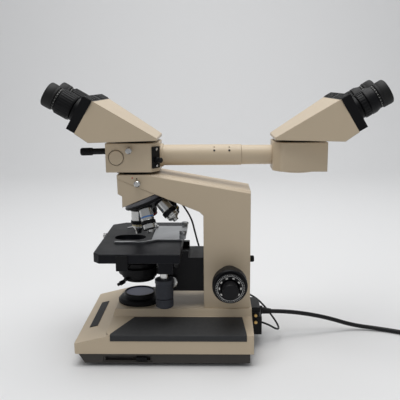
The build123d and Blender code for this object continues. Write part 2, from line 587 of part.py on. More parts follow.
LEVER_AZ = 218.0
with BuildPart() as lever:
    la = radians(LEVER_AZ)
    turned([(COND_R - 10, -2.6), (COND_R - 2.6, -2.6), (COND_R - 2.6, -0.3), (COND_R - 10, -0.3)],
           (AX, 0, COND_BOTTOM), (0, 0, 1))
    p0 = (AX + (COND_R - 5) * cos(la), (COND_R - 5) * sin(la), COND_BOTTOM - 1.6)
    ldir = (cos(la), sin(la), -0.28)
    turned([(0, 0), (1.3, 0), (1.3, 5), (3.0, 5.5), (3.4, 13), (2.2, 14), (2.2, 17.5), (0, 17.5)], p0, ldir)
save(lever.part, "iris_lever")

with BuildPart() as cond_knobs:
    kx, kz = COND_KNOB
    ky = CARRIER_HALF + 1.5
    kr = COND_KNOB_R
    rod((kx, -ky, kz), (0, 1, 0), 3.0, 2 * ky)
    for s in (-1, 1):
        turned([(0, 0), (kr - 0.8, 0), (kr, 0.8), (kr, 9.2), (kr - 0.8, 10), (0, 10)], (kx, s * ky, kz),
               (0, s, 0))
save(cond_knobs.part, "condenser_knobs")

# ============================================================================ turret
SEAT_SLOPE = tan(radians(TURRET_TILT))


def seat_frame(i):
    """Seat centre and outward direction of one objective."""
    phi = radians(360.0 / OBJECTIVES * i)
    ct, st = cos(radians(TURRET_TILT)), sin(radians(TURRET_TILT))
    u = Vector(ct, 0, st)
    out = u * (-cos(phi)) + Vector(0, -sin(phi), 0)
    down = Vector(*TURRET_DIR) * ct + out * st
    return SEAT_C + out * SEAT_R, down


BOSS_R = 11.0
BOSS_H = 1.3
with BuildPart() as turret:
    rim = TURRET_D / 2
    turned([(PIVOT_R + RUN, BOSS_H - (SEAT_R - PIVOT_R) * SEAT_SLOPE), (rim - 1.2, BOSS_H + (rim - 1.2 - SEAT_R) * SEAT_SLOPE),
            (rim, BOSS_H + (rim - SEAT_R) * SEAT_SLOPE + 0.8), (rim, GRIP_BOTTOM), (GRIP_D / 2 - 5, GRIP_BOTTOM),
            (GRIP_D / 2 - 5, GRIP_TOP), (PIVOT_R + RUN, GRIP_TOP)], SEAT_C, TURRET_UP)
    for i in range(OBJECTIVES):
        c, d = seat_frame(i)
        rod(c, -d, BOSS_R, 4.0)
    for i in range(OBJECTIVES):
        c, d = seat_frame(i)
        rod(c + d, -d, 8.0, 6.0, Mode.SUBTRACT)
save(turret.part, "turret")

with BuildPart() as grip:
    turned([(GRIP_D / 2 - 5, GRIP_BOTTOM), (GRIP_D / 2, GRIP_BOTTOM), (GRIP_D / 2, GRIP_TOP - 0.8),
            (GRIP_D / 2 - 0.8, GRIP_TOP), (GRIP_D / 2 - 5, GRIP_TOP)], SEAT_C, TURRET_UP)
save(grip.part, "turret_grip_ring")

# outlines (radius, distance from the seat) of the five objectives, thread first
OBJ_OUTLINES = {
    "objective_low": [(7.9, -4), (7.9, 0.05), (9.6, 0.05), (9.6, 14), (10.1, 14.5), (10.1, 19.5),
                      (8.8, 20.5), (8.8, 25), (6.0, 28.5), (4.2, OBJ_REACH), (0, OBJ_REACH)],
    "objective_high": [(7.9, -4), (7.9, 0.05), (9.4, 0.05), (9.4, 17), (10.1, 17.4), (10.1, 22.4),
                       (9.0, 23), (9.0, 29), (5.2, 31), (4.2, OBJ_REACH), (0, OBJ_REACH)],
    "objective_oil": [(7.9, -4), (7.9, 0.05), (9.0, 0.05), (9.0, 15), (10.4, 15.8), (10.4, 22.6),
                      (8.6, 23.4), (8.6, 28.4), (7.0, 30.2), (4.4, 31.4), (4.0, OBJ_REACH), (0, OBJ_REACH)],
    "objective_medium": [(7.9, -4), (7.9, 0.05), (9.8, 0.05), (9.8, 20), (8.6, 22), (8.6, 27),
                         (5.0, 31), (4.0, 33), (0, 33)],
    "objective_scan": [(7.9, -4), (7.9, 0.05), (9.8, 0.05), (9.8, 13), (8.0, 15), (8.0, 19), (0, 19)],
}
for i, (name, outline) in enumerate(OBJ_OUTLINES.items()):
    c, d = seat_frame(i)
    with BuildPart() as objective:
        turned([(0, -4)] + outline, c, d)
    save(objective.part, name)

# ============================================================ bridge and its two boxes
BOX_HALF = BOX_W / 2
CHAMF_X = 10.5
CHAMF_Y = 15.0
HEAD_SPIGOT_R = 18.0
RING_R = 27.5


def box_outline(axis_x, s):
    """Plan of a box whose tube side faces away from s, corners cut on that side."""
    return [
        (axis_x + s * BOX_BACK, -BOX_HALF), (axis_x + s * BOX_BACK, BOX_HALF),
        (axis_x - s * (BOX_FRONT - CHAMF_X), BOX_HALF), (axis_x - s * BOX_FRONT, BOX_HALF - CHAMF_Y),
        (axis_x - s * BOX_FRONT, -BOX_HALF + CHAMF_Y), (axis_x - s * (BOX_FRONT - CHAMF_X), -BOX_HALF),
    ]


def hollow_box(axis_x, s, tube_r):
    """Walls, cavity and bores that both boxes share, in the open part."""
    with BuildSketch(Plane.XY.offset(BOX_Z)) as plan:
        with BuildLine():
            Polyline(*box_outline(axis_x, s), close=True)
        make_face()
    extrude(plan.sketch, amount=BOX_H)
    block(axis_x - 26, axis_x + 26, -BOX_HALF + 5, BOX_HALF - 5, BOX_Z + 5, BOX_TOP - 8, Mode.SUBTRACT)
    rod((axis_x, 0, BOX_TOP - 9), (0, 0, 1), 12.0, 10, Mode.SUBTRACT)
    rod((axis_x, 0, BOX_TOP - 6), (0, 0, 1), HEAD_SPIGOT_R + RUN, 7, Mode.SUBTRACT)
    rod((axis_x, 0, TUBE_Z), (-s, 0, 0), tube_r, BOX_FRONT + 2, Mode.SUBTRACT)


with BuildPart() as splitter:
    hollow_box(AX, -1, TUBE_D / 2 - 3)
    turned([(12, -0.3 - FLANGE_H - SPIGOT_L + 0.3), (SPIGOT_R, -FLANGE_H - SPIGOT_L), (SPIGOT_R, -FLANGE_H),
            (29.5, -FLANGE_H), (29.5, 0), (12, 0)], (AX, 0, BOX_Z), (0, 0, 1))
    rod((AX, 0, BOX_Z - 1), (0, 0, 1), 12.0, 8, Mode.SUBTRACT)
    rod((AX - 5, -BOX_HALF - 1, BOX_TOP - 9.3), (0, 1, 0), 2.5 + RUN, 9, Mode.SUBTRACT)
    # seat of the pointer joystick
    rod((AX - BOX_BACK - 1, -14, TUBE_Z + 7.5), (1, 0, 0), 4.3, 9, Mode.SUBTRACT)
    chamfer(splitter.edges().filter_by(Axis.Z).filter_by(
        lambda e: e.center().X < AX - BOX_BACK + 1), 1.2)
with BuildPart() as cap:
    rod((AX - BOX_BACK + 15, -BOX_HALF, TUBE_Z - 0.5), (0, -1, 0), 11.0, 0.5)
save(Compound(children=[splitter.part, cap.part]), "splitter_box")

with BuildPart() as prisms:
    profile_xz([(AX - 12, TUBE_Z - 12), (AX + 12, TUBE_Z - 12), (AX + 12, TUBE_Z + 12),
                (AX - 12, TUBE_Z + 12)], -12, 12)
with BuildPart() as prism_b:
    profile_xz([(BX - 12, TUBE_Z - 12), (BX + 12, TUBE_Z - 12), (BX - 12, TUBE_Z + 12)], -12, 12)
with BuildPart() as stand_a:
    block(AX - 14, AX + 14, -14, 14, BOX_Z + 5, TUBE_Z - 12)
with BuildPart() as stand_b:
    block(BX - 14, BX + 14, -14, 14, BOX_Z + 5, TUBE_Z - 12)
save(Compound(children=[prisms.part, prism_b.part, stand_a.part, stand_b.part]), "bridge_prisms")

with BuildPart() as second_box:
    hollow_box(BX, 1, TUBE2_D / 2 - 3)
    fillet(second_box.edges().filter_by(Axis.Z).filter_by(
        lambda e: e.center().X < BX - 20 and e.center().X > BX - 36 and abs(e.center().Y) > 15), 8.0)
    turned([(0, -3.0), (25.0, -3.0), (26.3, -1.5), (26.3, 0), (0, 0)], (BX, 0, BOX_Z), (0, 0, 1))
save(second_box.part, "second_box")

SEAM_X = 36.0
TUBE_X0 = AX + BOX_FRONT
TUBE_X1 = BX - BOX_FRONT
with BuildPart() as tube:
    rod((TUBE_X0, 0, TUBE_Z), (1, 0, 0), TUBE_D / 2, SEAM_X - TUBE_X0)
    rod((TUBE_X0, 0, TUBE_Z), (1, 0, 0), TUBE_D / 2 - 3, SEAM_X - TUBE_X0, Mode.SUBTRACT)
    for hx in (-2.5, 19.0):
        rod((hx, -7.0, TUBE_Z + 8), (0, -0.45, 0.9), 1.0, 12, Mode.SUBTRACT)
save(tube.part, "bridge_tube")
with BuildPart() as tube2:
    rod((SEAM_X, 0, TUBE_Z), (1, 0, 0), TUBE2_D / 2, TUBE_X1 - SEAM_X)
    rod((SEAM_X, 0, TUBE_Z), (1, 0, 0), TUBE2_D / 2 - 3, TUBE_X1 - SEAM_X, Mode.SUBTRACT)
save(tube2.part, "bridge_tube_end")

# switch plate on the cut corner, near side
CORNER_LEN = (CHAMF_X ** 2 + CHAMF_Y ** 2) ** 0.5
CORNER_N = Vector(CHAMF_Y / CORNER_LEN, -CHAMF_X / CORNER_LEN, 0)
CORNER_C = Vector(AX + BOX_FRONT - CHAMF_X / 2, -BOX_HALF + CHAMF_Y / 2, TUBE_Z)
CORNER_FRAME = Plane(origin=CORNER_C, x_dir=(CHAMF_X, CHAMF_Y, 0), z_dir=CORNER_N)
with BuildPart() as switch_plate:
    with BuildSketch(CORNER_FRAME):
        RectangleRounded(15.0, 30.0, 1.0)
    extrude(amount=2.0)
    rod((CORNER_C + Vector(0, 0, -3.5)), CORNER_N, 2.5 + RUN, 3, Mode.SUBTRACT)
save(switch_plate.part, "switch_plate")
with BuildPart() as switch_knob:
    turned([(0, 0.2), (2.5, 0.2), (2.5, 2.3), (4.0, 2.3), (4.0, 5.0), (3.4, 6.0), (3.8, 10.5), (3.0, 11.5),
            (0, 11.5)], (CORNER_C + Vector(0, 0, -3.5)), CORNER_N)
save(switch_knob.part, "switch_knob")

STICK_X = AX - BOX_BACK
with BuildPart() as stick:
    turned([(0, -4.5), (2.4, -4.5), (3.6, -3), (3.6, 1), (4.4, 2), (4.4, 21), (5.3, 21.6), (5.3, 37.4),
            (4.2, 38.5), (0, 38.5)], (STICK_X, -14, TUBE_Z + 7.5), (-1, 0, -0.02))
save(stick.part, "pointer_stick")
save(thumb_screw(AX - 5, -BOX_HALF, BOX_TOP - 9.3, (0, -1, 0), 7.0, 4.4, 9.0), "box_clamp_screw")

# ============================================================================ heads
HEAD_BACK = 34.2           # housing behind its swivel axis
HEAD_BACK_HALF = 41.0
HEAD_FRONT_HALF = 69.0
PLATE_TOP = (48.2, 55.2)   # housing's front face, top and bottom, from the axis and base
PLATE_BOTTOM = (72.6, 12.9)
HEAD_CHIN = 55.6
FACE_T = 13.0
FOOT_X = 72.4              # eyepiece axis where it leaves the face plate
FOOT_DZ = 40.0
SLOT_DEPTH = 5.0
CT, ST = cos(radians(HEAD_TILT)), sin(radians(HEAD_TILT))


def head_half(dx):
    """Half width of the housing at a distance from its axis."""
    share = (dx + HEAD_BACK) / (PLATE_BOTTOM[0] + HEAD_BACK)
    return HEAD_BACK_HALF + (HEAD_FRONT_HALF - HEAD_BACK_HALF) * share


def head(s, side):
    """One inclined binocular head; s is the outward direction along X."""
    ax = s * HEAD_SPAN / 2

    def pt(dx, dz):
        return (ax + s * dx, HEAD_Z + dz)

    with BuildPart() as housing:
        profile_xz([pt(-HEAD_BACK, 0), pt(HEAD_CHIN, 0), pt(*PLATE_BOTTOM), pt(*PLATE_TOP),
                    pt(-HEAD_BACK, 3.4)], -HEAD_FRONT_HALF - 5, HEAD_FRONT_HALF + 5)
        for t in (-1, 1):
            with BuildSketch(Plane.XY.offset(HEAD_Z - 5)):
                with BuildLine():
                    far = PLATE_BOTTOM[0] + 20
                    Polyline((ax - s * (HEAD_BACK + 9), t * head_half(-HEAD_BACK - 9)), (ax + s * far, t * head_half(far)),
                             (ax + s * far, t * 150), (ax - s * (HEAD_BACK + 9), t * 150), close=True)
                make_face()
            extrude(amount=80, mode=Mode.SUBTRACT)
        fillet(housing.edges().filter_by(Axis.Z), 2.5)
        # prism chamber
        profile_xz([pt(-18, 9), pt(50, 9), pt(58, 14), pt(44, 40), pt(-18, 12)], -36, 36, Mode.SUBTRACT)
        rod((ax, 0, HEAD_Z - 1), (0, 0, 1), 12.0, 12, Mode.SUBTRACT)
        turned([(12, -HEAD_GAP - 5.5), (HEAD_SPIGOT_R, -HEAD_GAP - 5.5), (HEAD_SPIGOT_R, -HEAD_GAP + 0.3),
                (RING_R, -HEAD_GAP + 0.3), (RING_R + 0.8, -0.6), (RING_R + 0.8, 0), (12, 0)], (ax, 0, HEAD_Z), (0, 0, 1))
        for t in (-1, 1):
            fx = ax + s * (FOOT_X - FACE_T * CT - 2 * CT)
            fzz = HEAD_Z + FOOT_DZ - FACE_T * ST - 2 * ST
            rod((fx, t * IPD / 2, fzz), (-s * CT, 0, -ST), 11.0, 8, Mode.SUBTRACT)
            rod((fx, t * IPD / 2, fzz), (s * CT, 0, ST), 11.0, 8, Mode.SUBTRACT)
    save(housing.part, f"{side}_head_housing")

    # face plate with the guide in which the eyepiece carriers slide
    nx, nz = s * CT, ST
    face_half = head_half(PLATE_BOTTOM[0] - 10) - 1.0
    top = (ax + s * PLATE_TOP[0], HEAD_Z + PLATE_TOP[1])
    bot = (ax + s * PLATE_BOTTOM[0], HEAD_Z + PLATE_BOTTOM[1])
    with BuildPart() as face:
        profile_xz([top, bot, (bot[0] + nx * FACE_T, bot[1] + nz * FACE_T),
                    (top[0] + nx * FACE_T, top[1] + nz * FACE_T)], -face_half, face_half)
        fx, fzz = ax + s * FOOT_X, HEAD_Z + FOOT_DZ
        ux, uz = s * ST, -CT
        guide = 19.0
        with BuildSketch(Plane(origin=(fx, 0, fzz), x_dir=(0, 1, 0), z_dir=(nx, 0, nz))):
            Rectangle(2 * face_half - 12, 2 * guide)
        extrude(amount=-SLOT_DEPTH, mode=Mode.SUBTRACT)
        with BuildSketch(Plane(origin=(fx, 0, fzz), x_dir=(0, 1, 0), z_dir=(nx, 0, nz))):
            Rectangle(IPD + 38, 22)
        extrude(amount=-FACE_T - 1, mode=Mode.SUBTRACT)
    save(face.part, f"{side}_face_plate")

    for t, place in ((-1, "near"), (1, "far")):
        y = t * IPD / 2
        with BuildPart() as carrier:
            # sliding plate in the guide, round tube and the ribbed grip on top
            y0, y1 = sorted((t * 7.4, t * (IPD / 2 + 22.5)))
            p = Plane(origin=(fx - nx * (SLOT_DEPTH - SLIDE), (y0 + y1) / 2, fzz - nz * (SLOT_DEPTH - SLIDE)),
                      x_dir=(0, 1, 0), z_dir=(nx, 0, nz))
            with BuildSketch(p):
                Rectangle(y1 - y0, 2 * guide - 2 * SLIDE)
            extrude(amount=SLOT_DEPTH - SLIDE)
            turned([(11.0, 0), (EYE_D / 2 - 1.5, 0), (EYE_D / 2 - 1.5, 7.0), (15.0, 8.0), (15.0, 19.0),
                    (11.6, 19.0), (11.6, 2), (11.0, 2)], (fx, y, fzz), (nx, 0, nz))
            rod((fx - nx * 6, y, fzz - nz * 6), (nx, 0, nz), 11.0, 12, Mode.SUBTRACT)
        save(carrier.part, f"{side}_tube_{place}")
        with BuildPart() as eyepiece:
            r = EYE_D / 2
            turned([(15.0 + RUN, 8.4), (r, 8.4), (r, 15.5), (r + 0.4, 16.5), (r + 0.4, 30.0), (r - 2.6, 33.5),
                    (r - 2.6, 36.5), (r - 0.6, 37.5), (r - 0.4, EYE_LEN - 3.0), (r - 3.2, EYE_LEN),
                    (11.0, EYE_LEN - 0.8), (9.5, 44.0), (0, 44.0), (0, 40.0), (9.5, 40.0), (9.5, 30.0),
                    (11.6 - RUN, 20.0), (15.0 + RUN, 20.0)], (fx, y, fzz), (nx, 0, nz))
        save(eyepiece.part, f"{side}_eyepiece_{place}")
    return ax


head(-1, "left")
head(1, "right")

# ============================================================ rear socket and cords
SOCKET_X = X1
SOCKET_D = 15.0
SOCKET_HALF = 34.0
SOCKET_Z0 = Z_BASE - 6.0
SOCKET_Z1 = Z_HUMP - 2.0
with BuildPart() as socket:
    block(SOCKET_X, SOCKET_X + SOCKET_D, -SOCKET_HALF, SOCKET_HALF, Z_BASE + 1, Z_SIDE + 2)
    block(SOCKET_X, SOCKET_X + SOCKET_D - 4, -SOCKET_HALF + 2, SOCKET_HALF - 2, Z_SIDE + 2, SOCKET_Z1 - 6)
    for i in range(6):
        ry = -SOCKET_HALF + 6 + 11.2 * i
        block(SOCKET_X + SOCKET_D - 1.2, SOCKET_X + SOCKET_D, ry - 1.6, ry + 1.6, Z_BASE, Z_SIDE, Mode.SUBTRACT)

with BuildPart() as bracket:
    bz = SOCKET_Z1 - 6
    block(SOCKET_X, SOCKET_X + 12.5, -30, -29, bz, bz + 7)
    block(SOCKET_X, SOCKET_X + 12.5, -30, 6, bz + 6, bz + 7)
    block(SOCKET_X + 11.5, SOCKET_X + 12.5, -30, -29, bz, bz + 7)
with BuildPart() as terminals:
    for tz in (Z_SIDE + 5.0, Z_SIDE - 4.5):
        rod((SOCKET_X + 6.0, -SOCKET_HALF + (2 if tz > Z_SIDE else 0), tz), (0, -1, 0), 2.6, 2.4)
save(Compound(children=[socket.part, bracket.part, terminals.part]), "lamp_socket_block")

GLAND_X = SOCKET_X + SOCKET_D
GLAND_P = (GLAND_X, 8.0, Z_BASE + 22.0)
GLAND_L = 17.0
GLAND_DIR = Vector(1, 0.09, -0.13).normalized()
with BuildPart() as gland:
    turned([(0, 0), (6.5, 0), (6.5, 3.0), (5.2, 4.0), (3.9, GLAND_L), (0, GLAND_L)], GLAND_P,
           GLAND_DIR)
save(gland.part, "strain_relief")

CORD_START = Vector(*GLAND_P) + GLAND_DIR * GLAND_L
CORD_PTS = [
    CORD_START, (106.0, 12.6, 37.4), (141.0, 19.5, 30.5), (176.0, 26.5, 20.6),
    (212.0, 31.5, 7.4), (250.0, 28.5, 3.25), (288.0, 12.0, 3.2), (322.0, -10.0, 3.2),
    (343.0, -33.0, 3.2),
]


def rounded_route(points, label, radius):
    """Wire of straight runs joined by arcs as large as the runs allow."""
    pts = [Vector(*p) for p in points]
    radii = []
    for a, b, c in zip(pts, pts[1:], pts[2:]):
        turn = radians((b - a).get_angle(c - b))
        radii.append(0.45 * min((b - a).length, (c - b).length) / tan(turn / 2))
    print(label, "radii in diameters:", [round(r / (2 * radius), 1) for r in radii])
    return pts, radii


def flexible(points, label, radius):
    """Round cord along straight runs joined by tangent arcs."""
    pts, radii = rounded_route(points, label, radius)
    with BuildPart() as cord:
        with BuildLine() as path:
            FilletPolyline(*[p for p in pts], radius=radii)
        with BuildSketch(Plane(origin=path.line @ 0, z_dir=path.line % 0)):
            Circle(radius)
        sweep(path=path.line)
    length = sum(e.length for e in path.line.edges())
    share = cord.part.volume / (pi * radius ** 2 * length)
    print(label, "length", round(length, 1), "volume share", round(share, 4))
    return cord.part, length


main_cord, seen = flexible(CORD_PTS, "main cord", CORD_D / 2)
save(main_cord, "main_cord")

COIL_MID_R = 5.6 * CORD_D
COIL_TURNS = 7
COIL_ROWS = 2
end = Vector(*CORD_PTS[-1])
run = (end - Vector(*CORD_PTS[-2])).normalized()
side_v = Vector(-run.Y, run.X, 0)
COIL_C = end - side_v * COIL_MID_R + run * 3.6 * CORD_D
COIL_C = Vector(COIL_C.X, COIL_C.Y, 0)
with BuildPart() as coil:
    inner = COIL_MID_R - CORD_D * 1.02
    outer = COIL_MID_R + CORD_D * 1.02
    top = CORD_D * 3.9
    turned([(inner, 0.05), (outer, 0.05), (outer, top - 2), (outer - 2, top), (inner + 2, top), (inner, top - 2)],
           COIL_C, (0, 0, 1))
save(coil.part, "cord_coil")

PLUG_L = 34.0
with BuildPart() as plug:
    pz = 10.0
    pp = COIL_C + Vector(outer + 14.0, -10.0, 0)
    turned([(0, 0), (3.6, 0), (5.0, 14), (9.5, 16), (9.5, PLUG_L), (0, PLUG_L)],
           (pp.X, pp.Y, pz), (0, -1, 0))
    for dx in (-5.0, 5.0):
        rod((pp.X + dx, pp.Y - PLUG_L, pz), (0, -1, 0), 2.0, 16.0)
save(plug.part, "cord_plug")

CABLE_Y = 53.0
CABLE_END_X = SOCKET_X + SOCKET_D
CABLE_PTS = [
    (AX + 37.0, ARM_HALF, ARM_TOP - 19.5), (AX + 37.5, ARM_HALF + 8.5, ARM_TOP - 21.0),
    (AX + 41.0, CABLE_Y - 3.0, ARM_TOP - 29.0), (AX + 51.0, CABLE_Y, ARM_TOP - 44.0),
    (AX + 65.0, CABLE_Y + 0.5, ARM_TOP - 63.0), (AX + 77.0, CABLE_Y, ARM_TOP - 83.0),
    (AX + 82.0, CABLE_Y - 0.5, ARM_TOP - 105.0), (AX + 88.0, CABLE_Y - 1.0, ARM_TOP - 128.0),
    (COLUMN_X - 1.0, CABLE_Y - 2.0, ARM_TOP - 151.0), (COLUMN_X + 7.0, CABLE_Y - 3.5, ARM_TOP - 172.0),
    (COLUMN_X + 22.0, CABLE_Y - 5.0, Z_HUMP + 8.5), (COLUMN_X + 42.0, CABLE_Y - 7.0, Z_HUMP + 0.5),
    (COLUMN_BACK - 4.0, CABLE_Y - 7.5, Z_HUMP - 4.5), (CABLE_END_X - 4.0, SOCKET_HALF + 4.5, Z_HUMP - 11.0),
    (CABLE_END_X + 10.0, SOCKET_HALF - 4.0, Z_HUMP - 23.0), (CABLE_END_X + 21.0, 19.0, Z_BASE + 7.0),
    (CABLE_END_X + 28.0, 6.0, Z_BASE - 1.0), (CABLE_END_X + 28.0, -8.0, Z_BASE - 2.0),
    (CABLE_END_X + 21.0, -17.0, Z_BASE + 3.0), (CABLE_END_X + 11.0, -21.0, Z_BASE + 11.0),
    (CABLE_END_X, -21.0, Z_BASE + 15.0),
]
pointer_cable, cable_len = flexible(CABLE_PTS, "pointer cable", CABLE_D / 2)
save(pointer_cable, "pointer_cable")
print("cord seen", round(seen, 1), "coiled", round(CORD_LENGTH - seen, 1),
      "turns", round((CORD_LENGTH - seen) / (2 * pi * COIL_MID_R), 2))
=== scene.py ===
import json
import logging
from dataclasses import dataclass, field
from enum import Enum
from math import cos, pi, radians, sin
from typing import Sequence

import bmesh
import bpy
from mathutils import Matrix, Vector


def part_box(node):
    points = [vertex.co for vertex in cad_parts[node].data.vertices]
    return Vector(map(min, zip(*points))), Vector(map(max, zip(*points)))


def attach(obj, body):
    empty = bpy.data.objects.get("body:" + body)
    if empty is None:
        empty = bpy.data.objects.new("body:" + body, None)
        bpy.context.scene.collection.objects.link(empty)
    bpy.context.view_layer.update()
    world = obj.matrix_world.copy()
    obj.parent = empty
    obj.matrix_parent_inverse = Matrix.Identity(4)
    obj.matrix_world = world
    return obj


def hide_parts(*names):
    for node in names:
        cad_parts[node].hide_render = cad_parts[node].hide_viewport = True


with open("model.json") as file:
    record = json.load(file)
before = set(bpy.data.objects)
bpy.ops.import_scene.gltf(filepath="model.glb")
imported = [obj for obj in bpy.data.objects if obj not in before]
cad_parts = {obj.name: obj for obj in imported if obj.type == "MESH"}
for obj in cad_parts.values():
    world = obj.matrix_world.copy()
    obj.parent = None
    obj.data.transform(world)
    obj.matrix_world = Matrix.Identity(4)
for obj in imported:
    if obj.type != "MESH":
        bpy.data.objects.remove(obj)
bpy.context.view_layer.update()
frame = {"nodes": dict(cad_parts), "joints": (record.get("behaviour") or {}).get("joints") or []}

LOG = logging.getLogger("microscope")
MM = 0.001
SHARP_ANGLE = radians(32)
LATHE_STEPS = 72
DUST_COLOR = (0.55, 0.53, 0.5, 1.0)
DARK_SHARE = 0.72
NEARLY_PARALLEL = 0.95
Outline = Sequence[tuple[float, float]]
Triple = tuple[float, float, float]


class Side(Enum):
    """The two ends of the bridge."""

    LEFT = -1
    RIGHT = 1


class Place(Enum):
    """The two eyepieces of one head."""

    NEAR = -1
    FAR = 1


# ------------------------------------------------------------------ shader effects
class Graph:
    """Small helper that adds and links shader nodes in one tree."""

    def __init__(self, tree: bpy.types.NodeTree) -> None:
        """Keep the tree.

        Args:
            tree: node tree that the nodes are added to.
        """
        self.tree = tree

    def add(self, kind: str, sockets: dict | None = None, **attrs: object) -> bpy.types.Node:
        """Add a node, set its attributes, then set or link its inputs.

        Args:
            kind: Blender's node type name.
            sockets: input name or index to a value or to an output socket.
            **attrs: attributes such as operation or data_type.

        Returns:
            The new node.
        """
        node = self.tree.nodes.new(kind)
        for key, value in attrs.items():
            setattr(node, key, value)
        for key, value in (sockets or {}).items():
            if isinstance(value, bpy.types.NodeSocket):
                self.tree.links.new(value, node.inputs[key])
            else:
                node.inputs[key].default_value = value
        return node

    def math(
            self, op: str, a: object, b: object = 0.0, clamp: bool = False) -> bpy.types.NodeSocket:
        """Output of a math node over two values or sockets."""
        return self.add("ShaderNodeMath", {0: a, 1: b}, operation=op, use_clamp=clamp).outputs[0]

    def blend(self, share: object, a: object, b: object) -> bpy.types.NodeSocket:
        """Colour between a and b by a share."""
        return self.add("ShaderNodeMix", {0: share, 6: a, 7: b}, data_type="RGBA").outputs[2]


class Effects:
    """Shader node groups shared by every finish, each built once."""

    def __init__(self) -> None:
        """Build the groups."""
        self.grain = self._grain()
        self.edges = self._edges()
        self.dust = self._dust()
        self.turning = self._turning()

    @staticmethod
    def _group(name: str, inputs: dict[str, float], outputs: dict[str, str]) -> tuple:
        """Start a group with float inputs and named outputs.

        Args:
            name: name of the group.
            inputs: input name to its default.
            outputs: output name to its socket type.

        Returns:
            The tree, its helper, the input node and the output node.
        """
        tree = bpy.data.node_groups.new(name, "ShaderNodeTree")
        for key, value in inputs.items():
            socket = tree.interface.new_socket(key, in_out="INPUT", socket_type="NodeSocketFloat")
            socket.default_value = value
        for key, kind in outputs.items():
            tree.interface.new_socket(key, in_out="OUTPUT", socket_type=kind)
        graph = Graph(tree)
        return tree, graph, graph.add("NodeGroupInput"), graph.add("NodeGroupOutput")

    def _grain(self) -> bpy.types.NodeTree:
        """Fine surface texture and slow colour mottling."""
        tree, g, start, end = self._group("surface_grain", {"Scale": 900.0, "Mottle Scale": 30.0}, {
            "Height": "NodeSocketFloat", "Mottle": "NodeSocketFloat"})
        at = g.add("ShaderNodeTexCoord").outputs["Object"]
        fine = g.add("ShaderNodeTexNoise", {"Vector": at, "Scale": start.outputs[0], "Detail": 3.0})
        slow = g.add("ShaderNodeTexNoise", {
            "Vector": at, "Scale": start.outputs[1], "Detail": 4.0, "Roughness": 0.6})
        g.tree.links.new(fine.outputs[0], end.inputs[0])
        g.tree.links.new(slow.outputs[0], end.inputs[1])
        return tree

    def _edges(self) -> bpy.types.NodeTree:
        """Rounded edge normal, and a broken mask where edges rub bare."""
        tree, g, start, end = self._group("soft_edges", {"Radius": 0.001, "Break Scale": 220.0}, {
            "Normal": "NodeSocketVector", "Wear": "NodeSocketFloat"})
        soft = g.add("ShaderNodeBevel", {"Radius": start.outputs[0]}, samples=4)
        flat = g.add("ShaderNodeNewGeometry").outputs["Normal"]
        dot = g.add("ShaderNodeVectorMath", {0: soft.outputs[0], 1: flat}, operation="DOT_PRODUCT")
        edge = g.math("SUBTRACT", 1.0, dot.outputs["Value"])
        at = g.add("ShaderNodeTexCoord").outputs["Object"]
        crumbs = g.add("ShaderNodeTexNoise", {
            "Vector": at, "Scale": start.outputs[1], "Detail": 2.0})
        mask = g.math(
            "MULTIPLY", g.math("MULTIPLY", edge, 6.0), g.math("SUBTRACT", crumbs.outputs[0], 0.38))
        g.tree.links.new(soft.outputs[0], end.inputs[0])
        g.tree.links.new(g.math("MULTIPLY", mask, 2.0, clamp=True), end.inputs[1])
        return tree

    def _dust(self) -> bpy.types.NodeTree:
        """Mask of dust that settles on faces that look up."""
        tree, g, start, end = self._group("dust_film", {"Scale": 160.0}, {
            "Dust": "NodeSocketFloat"})
        normal = g.add("ShaderNodeNewGeometry").outputs["Normal"]
        up = g.add("ShaderNodeSeparateXYZ", {0: normal}).outputs[2]
        at = g.add("ShaderNodeTexCoord").outputs["Object"]
        specks = g.add("ShaderNodeTexNoise", {
            "Vector": at, "Scale": start.outputs[0], "Detail": 5.0, "Roughness": 0.7})
        g.tree.links.new(
            g.math("MULTIPLY", g.math("POWER", g.math("MAXIMUM", up, 0.0), 2.0), specks.outputs[0]),
            end.inputs[0])
        return tree

    def _turning(self) -> bpy.types.NodeTree:
        """Fine marks that a lathe leaves, as a height."""
        tree, g, start, end = self._group("turning_marks", {"Scale": 1500.0}, {
            "Height": "NodeSocketFloat"})
        at = g.add("ShaderNodeTexCoord").outputs["Object"]
        lean = g.add("ShaderNodeMapping", {
            "Vector": at, "Rotation": (0.25, 0.35, 0.1), "Scale": (0.12, 0.12, 1.0)})
        marks = g.add("ShaderNodeTexNoise", {
            "Vector": lean.outputs[0], "Scale": start.outputs[0], "Detail": 2.0})
        g.tree.links.new(marks.outputs[0], end.inputs[0])
        return tree


